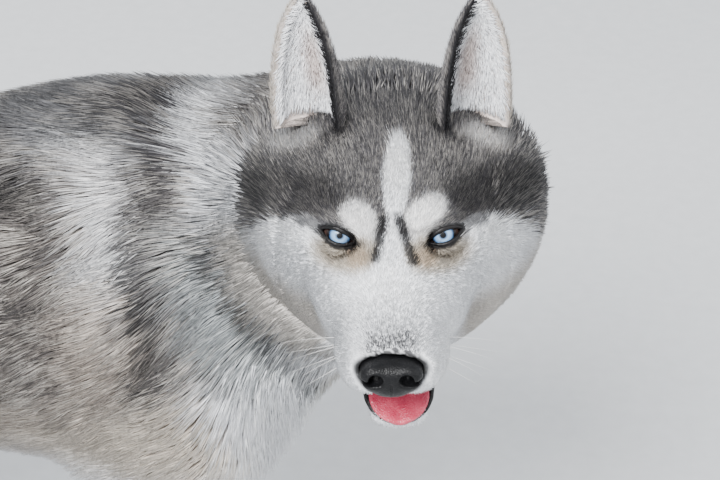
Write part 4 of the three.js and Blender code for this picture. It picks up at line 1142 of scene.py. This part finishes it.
nose_low, nose_high = HEAD_AT + np.array([-34, -112, -66]), HEAD_AT + np.array([44, -62, -20])
nose_points, nose_faces = surface_of(
    lambda p: nose_field(to_head(p)), nose_low, nose_high, 0.7)
nose = new_piece("nose_pad", nose_points, nose_faces, "nose_leather", NOSE_LEATHER)
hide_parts("nose")


def tongue_mesh():
    rings = []
    for t in np.linspace(0.04, 0.985, 34):
        taper = math.sqrt(1 - max(0, (t - 0.62) / 0.38) ** 2.6)
        half = TONGUE["width"] / 2 * taper * min(1, 0.7 + t * 0.4)
        turn = np.linspace(0, 2 * np.pi, 40, endpoint=False)
        y = half * np.cos(turn)
        groove = np.where(np.sin(turn) > 0, TONGUE["groove"] * np.exp(-y * y / 10) * (1 - t * 0.5), 0)
        rise = TONGUE["thickness"] / 2 * (1 - 0.3 * t) * (0.5 + 0.5 * taper)
        edge = 1.6 * np.abs(np.cos(turn)) ** 3 * smooth(t, 0.3, 0.9)
        droop = TONGUE["droop"] * smooth(t, 0.6, 1)
        z = TONGUE["z"] - 2 * t * t - droop + rise * np.sin(turn) - groove + edge
        rings.append(np.stack([TONGUE["root"] + t * TONGUE["length"] + 0 * turn, y, z], -1))
    start = (TONGUE["root"], 0, TONGUE["z"])
    end = (TONGUE["root"] + TONGUE["length"], 0, TONGUE["z"] - 2 - TONGUE["droop"])
    points, triangles = closed_rings(rings, start, end)
    return from_head(from_jaw(points)), triangles


def jaw_rim():
    """The black lip round the lower jaw, from one corner of the mouth to the other."""
    swing = np.linspace(-math.pi / 2, math.pi / 2, 25)
    side_x = np.linspace(-2, 62, 14)
    side_y = (JAW["width"] + (JAW["chin"] - JAW["width"]) * np.clip(side_x / JAW["length"], 0, 1)) / 2 - 2.4
    front = np.stack([62 + 19 * np.cos(swing), np.sin(swing) * side_y[-1], 0 * swing], -1)
    near = np.stack([side_x, -side_y, 0 * side_x], -1)
    far = np.stack([side_x, side_y, 0 * side_x], -1)[::-1]
    path = np.concatenate([near[:-1], front, far[1:]])
    path[:, 2] = JAW["z"] + 8.5 + 3 * smooth(-path[:, 0], -30, 0) - 5 * smooth(path[:, 0], 66, 80)
    radii = 2.1 - 0.7 * smooth(path[:, 0], 60, 80)
    return tube(from_head(from_jaw(path)), radii, 12)


new_piece("lower_lip", *jaw_rim(), "nose_leather", LIP_LEATHER)


tongue = new_piece("grooved_tongue", *tongue_mesh(), "tongue", WET_TONGUE)
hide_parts("tongue")


# Ears: a tapering crescent section swept up from its root
def ear_rings(side):
    rows = []
    turn = turned(x=-EAR["splay"] * side) @ turned(y=EAR["lean"]) @ turned(z=EAR["outward"] * side)
    for t in np.linspace(0, 0.985, EAR_ROWS):
        half = EAR["base"] / 2 * (1 - t**2.8) ** 0.62
        deep = half * (0.95 - 0.35 * t)
        wall = min(EAR["wall"], half * 0.45)
        for opening, thin in ((1.75, 0.0), (1.62, wall)):
            a = np.linspace(-opening, opening, EAR_ACROSS)
            x = deep * 0.35 - (deep - thin) * np.cos(a)
            rows.append(np.stack([x, (half - thin * 0.9) * np.sin(a), EAR["height"] * t + 0 * a], -1))
    rows = np.array(rows).reshape(EAR_ROWS, 2, EAR_ACROSS, 3)
    rings = np.concatenate([rows[:, 0], rows[:, 1, ::-1]], 1)
    return rings @ turn.T + np.array([EAR["x"], EAR["y"] * side, EAR["z"]])


def build_ear(side):
    name = "left" if side > 0 else "right"
    rings = from_head(ear_rings(side))
    points, triangles = closed_rings(rings, rings[0].mean(0), rings[-1].mean(0))
    number = np.arange(len(points))
    row, place = np.divmod(number, 2 * EAR_ACROSS)
    inside = (place >= EAR_ACROSS) & (row < EAR_ROWS)
    height = np.minimum(row, EAR_ROWS - 1) / (EAR_ROWS - 1)
    across = np.where(inside, 2 * EAR_ACROSS - 1 - place, place) / ((EAR_ACROSS - 1) / 2) - 1
    inner_edge = smooth(-across * side, 0.8, 1.0)
    pink = paint(222, 208, 200)
    colours = np.where(inside[:, None], pink, GREY)
    colours = colours * (1 - inner_edge[:, None]) + BLACK * 2 * inner_edge[:, None]
    piece = new_piece(f"ear_leaf_{name}", points, triangles, "coat", UNDERCOAT, colours)
    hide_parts(f"ear_{name}")
    return points, triangles, inside, height, across * side


EAR_MESHES = {side: build_ear(side) for side in SIDES.values()}

for node_name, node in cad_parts.items():
    if "claw" in node_name:
        for claw_slot in node.material_slots:
            claw_slot.material = HORN


# Coat
def unwrap_head(p):
    q = to_head(p) - np.array([-34, 0, -34])
    polar = np.arccos(np.clip(q[:, 2] / np.linalg.norm(q, axis=1), -1, 1)) / np.pi
    return np.stack([np.arctan2(q[:, 1], q[:, 0]) / (2 * np.pi) + 0.5, polar], -1)


def unwrap_body(p):
    turn = np.arctan2(p[:, 1], p[:, 2] - (430 + 60 * smooth(p[:, 0], 60, 240))) / (2 * np.pi) + 0.5
    return np.stack([turn, (p[:, 0] + 460) / 900], -1)


def unwrap_legs(p):
    which = (p[:, 0] < 0) * 2 + (p[:, 1] < 0)
    centre_x = np.where(p[:, 0] < 0, -262, 150)
    turn = np.arctan2(np.abs(p[:, 1]) - 72, p[:, 0] - centre_x) / (2 * np.pi) + 0.5
    return np.stack([(which + turn) / 4, p[:, 2] / 420], -1)


def coat_pieces(name, form, roots, normal, plan, marks, uv, rng):
    """Long bent tufts and short spikes over one part, in pieces of at most a set number of triangles."""
    lie, length, width = plan
    for kind, chosen, size in (("locks", length >= 13, 10), ("short", length < 13, 4)):
        pick = np.flatnonzero(chosen)
        if len(pick) == 0:
            continue
        pieces = max(1, math.ceil(len(pick) * size / MOST_TRIANGLES))
        pick = pick[np.argsort(uv[pick, 1], kind="stable")]
        shape = grow(form, roots[pick], normal[pick], lie[pick], length[pick], width[pick], rng)
        shades = coloured(marks_of(marks, pick), roots[pick], rng, (0.0, 0.6, 1.0))
        for i, part in enumerate(np.array_split(np.arange(len(pick)), pieces)):
            cut = [values[part] for values in shape]
            made = tuft_mesh(*cut, [shade[part] for shade in shades], uv[pick][part], kind == "locks")
            points, triangles, tones, patches = made
            new_piece(f"{name}_{kind}_{i + 1}", points, triangles, "coat", HAIR, tones, patches)


def marks_of(marks, pick):
    chosen = Marks(0)
    chosen.root, chosen.tip, chosen.mottle = marks.root[pick], marks.tip[pick], marks.mottle[pick]
    return chosen


def shown_at(roots, normal, plan):
    """Where the outer half of each tuft shows, so that the markings fall in their places on the coat."""
    lie, length, _ = plan
    lie = unit(lie - (lie * normal).sum(-1, keepdims=True) * normal)
    return roots + lie * (length * 0.6)[:, None]


def body_coat():
    rng = np.random.default_rng(21)
    triangles = split(body_faces)
    middles = body_points[triangles].mean(1)
    on_skin = (np.abs(skin_field(middles)) < 3) & (middles[:, 2] > 4) & (head_zone(middles) > 2)
    leg = (middles[:, 2] < 292) & (middles[:, 0] > -318)
    tail = (middles[:, 0] < -318) & (middles[:, 2] > 190)
    seen = 1 + 1.6 * smooth(middles[:, 0], -90, 60) * smooth(-middles[:, 1], -90, 0)
    for name, chosen, unwrap in (("legs", leg, unwrap_legs), ("tail", tail, unwrap_body),
                                 ("body", ~leg & ~tail, unwrap_body)):
        roots, normal, _ = roots_on(body_points, triangles, on_skin * chosen * seen, TUFTS[name], rng)
        plan = coat_plan(roots, normal)
        marks = markings(shown_at(roots, normal, plan), rng)
        coat_pieces(f"coat_{name}", body_field, roots, normal, plan, marks, unwrap(roots), rng)


def bare_face(p):
    """True where the head has no coat: lids, eyes, nose and the inside of the mouth."""
    q = to_head(p)
    bare = (nose_form(q) < 2.6) | (mouth_space(q) < 1.5)
    bare |= ball((24, 0, JAW["z"] + 14), (62, JAW["chin"] / 2 - 3, 14))(in_jaw(q)) < 1.5
    for side in SIDES.values():
        centre, _ = eye_frame(side)
        bare |= (eye_opening(q, side) < 1.2) | (np.linalg.norm(q - centre, axis=1) < EYE["radius"] + 1.4)
    return bare | (head_zone(p) > -0.8)


def head_coat():
    rng = np.random.default_rng(22)
    triangles = split(head_faces)
    middles = head_points[triangles].mean(1)
    q = to_head(middles)
    fine = 1 + 1.2 * smooth(q[:, 0], -70, -10)
    roots, normal, _ = roots_on(head_points, triangles, ~bare_face(middles) * fine, TUFTS["head"], rng)
    plan = coat_plan(roots, normal)
    marks = markings(shown_at(roots, normal, plan), rng)
    coat_pieces("coat_head", face_outer, roots, normal, plan, marks, unwrap_head(roots), rng)


def ear_coat(side):
    """Short dark fur over the back of the ear, and a long pale fringe from its edges across the inside."""
    rng = np.random.default_rng(23)
    points, triangles, inside, height, outer = EAR_MESHES[side]
    inner = inside[triangles].mean(1) > 0.5
    outer = outer[triangles].mean(1)
    up = height[triangles].mean(1)
    closing = (triangles >= EAR_ROWS * 2 * EAR_ACROSS).any(1)
    dense = np.where(closing, 0.0, np.where(inner, 1.2, 1.0))
    roots, normal, face = roots_on(points, triangles, dense, TUFTS["ear"], rng)
    inner, outer, up = inner[face], outer[face], up[face]
    edge = np.abs(outer)
    tip = from_head(ear_rings(side)[-1].mean(0))
    lie = unit(tip - roots) + 0.15 * HEAD_TURN[:, 0] * inner[:, None]
    towards_middle = unit(from_head(ear_rings(side)[:, EAR_ACROSS * 3 // 2]).mean(0) - roots)
    lie = lie + towards_middle * (0.5 * inner * edge)[:, None]
    length = np.where(inner, 8 + 4 * (1 - up), 7.5 - 2 * up)
    width = np.where(inner, 0.7, 0.9)
    dark_edge = smooth(-outer, 0.84, 1.0)
    marks = Marks(len(roots))
    marks.lay(np.where(inner, 0, 1), STEEL, CHARCOAL, 0.6)
    marks.lay(np.where(inner, 0, smooth(outer, 0.2, 0.9)) * 0.7, CREAM * 0.8, CREAM, 0.2)
    # Painted shade: a brownish pink over the middle of the ear's inner hollow, where the cup lies in shade
    ear_hollow_shade = (1 - smooth(np.abs(outer + 0.05), 0.05, 0.5)) * smooth(up, 0.05, 0.3) * smooth(-up, -0.85, -0.5)
    marks.lay(inner * ear_hollow_shade * 0.75, paint(172, 148, 138), paint(196, 178, 170))
    marks.lay(dark_edge, BLACK * 2, BLACK)
    drape = np.where(inner, 1.3, 1.4)

    def flat(p):
        return np.zeros(len(p))

    sunk, *_, width = grow(flat, roots, normal, lie, length, width, rng)
    ahead = unit(lie - (lie * normal).sum(-1, keepdims=True) * normal + rng.normal(0, 0.12, lie.shape))
    reach = length[:, None] * rng.uniform(0.75, 1.15, (len(roots), 1))
    tip_at = roots + ahead * reach + normal * drape[:, None]
    middle = roots + (tip_at - roots) * 0.5 + normal * (drape * 0.45)[:, None]
    shape = [sunk, middle, tip_at, unit(np.cross(normal, ahead)), normal, width]
    shades = coloured(marks, roots, rng, (0.0, 0.5, 1.0))
    name = "left" if side > 0 else "right"
    for kind, chosen in (("fringe", inner), ("short", ~inner)):
        pick = np.flatnonzero(chosen)
        uv = np.stack([0.25 + 0.5 * (roots[pick, 1] - roots[:, 1].min()) / np.ptp(roots[:, 1]), up[pick]], -1)
        cut = [values[pick] for values in shape]
        made = tuft_mesh(*cut, [shade[pick] for shade in shades], uv, kind == "fringe")
        new_piece(f"coat_ear_{name}_{kind}", made[0], made[1], "coat", HAIR, made[2], made[3])


body_coat()
head_coat()
for ear_side in SIDES.values():
    ear_coat(ear_side)


# Floor, lights and the photo's camera
def backdrop():
    made, tree, shader = new_material("pale_floor", 0.8, 0.2)
    grain = object_noise(tree, 60, 4)
    tree.links.new(add_ramp(tree, grain, [(0.3, (0.63, 0.64, 0.65)), (0.7, (0.67, 0.68, 0.69))]),
                   shader.inputs["Base Color"])
    add_bump(tree, shader, grain, 0.1, 0.001)
    mesh = bpy.data.meshes.new("pale_floor")
    reach = 30.0
    corners = [(-reach, -reach, 0), (reach, -reach, 0), (reach, reach, 0), (-reach, reach, 0)]
    mesh.from_pydata(corners, [], [(0, 1, 2, 3)])
    mesh.materials.append(made)
    floor = bpy.data.objects.new("pale_floor", mesh)
    bpy.context.scene.collection.objects.link(floor)


def soft_light(name, place, aim, size, power):
    lamp = bpy.data.lights.new(name, "AREA")
    lamp.shape, lamp.size, lamp.energy = "DISK", size, power
    light = bpy.data.objects.new(name, lamp)
    light.location = place
    light.rotation_euler = (Vector(aim) - Vector(place)).to_track_quat("-Z", "Y").to_euler()
    bpy.context.scene.collection.objects.link(light)


def studio():
    world = bpy.data.worlds.new("soft_room")
    world.use_nodes = True
    world.node_tree.nodes["Background"].inputs["Color"].default_value = (0.86, 0.9, 0.95, 1)
    world.node_tree.nodes["Background"].inputs["Strength"].default_value = 1.15
    bpy.context.scene.world = world
    soft_light("key_light", (-0.5, -2.2, 2.9), (0.2, -0.1, 0.45), 1.6, 275)
    soft_light("side_light", (2.6, -0.6, 1.8), (0.1, 0, 0.4), 1.8, 32)
    soft_light("back_light", (-1.2, 2.4, 2.2), (0, 0, 0.5), 1.6, 26)


def photo_camera():
    back = Vector(TOWARDS)
    turn = (-back).to_track_quat("-Z", "Y").to_matrix()
    metres = PHOTO["distance"] / PHOTO["focal"]
    place = Vector(to_world(HEAD_AT)) + back * PHOTO["distance"]
    place -= turn.col[0] * ((HEAD_PIXEL[0] + 0.5 - PHOTO["across"] / 2) * metres)
    place -= turn.col[1] * ((PHOTO["down"] / 2 - HEAD_PIXEL[1] - 0.5) * metres)
    lens = bpy.data.cameras.new("photo_camera")
    lens.sensor_width = 36
    lens.lens = PHOTO["focal"] * 36 / PHOTO["across"]
    lens.clip_end = 30
    camera = bpy.data.objects.new("photo_camera", lens)
    camera.matrix_world = Matrix.Translation(place) @ turn.to_4x4()
    bpy.context.scene.collection.objects.link(camera)
    bpy.context.scene.camera = camera


def whiskers():
    """Fine bristles from two rows of roots on each of the muzzle's pads."""
    for name, side in SIDES.items():
        for i in range(6):
            row, place = divmod(i, 3)
            root = from_head(np.array([62 - 11 * place, (29 + 2 * place) * side, -50 - 5 * row]))
            root = settle(shut_face, root[None], -0.5)[0]
            ahead = np.array([0.35 - 0.35 * place, 1.0 * side, -0.28 - 0.16 * row])
            reach = 26 + 8 * place
            t = np.linspace(0, 1, 12)[:, None]
            bend = np.array([-14.0, 0, -13.0 + 3 * row]) * t**2
            path = root + (ahead / np.linalg.norm(ahead) * reach * t + bend) @ HEAD_TURN.T
            radii = 0.17 * (1 - 0.8 * t[:, 0])
            new_piece(f"whisker_{name}_{i + 1}", *tube(path, radii, 6), "coat", BRISTLE)


whiskers()
backdrop()
studio()
photo_camera()
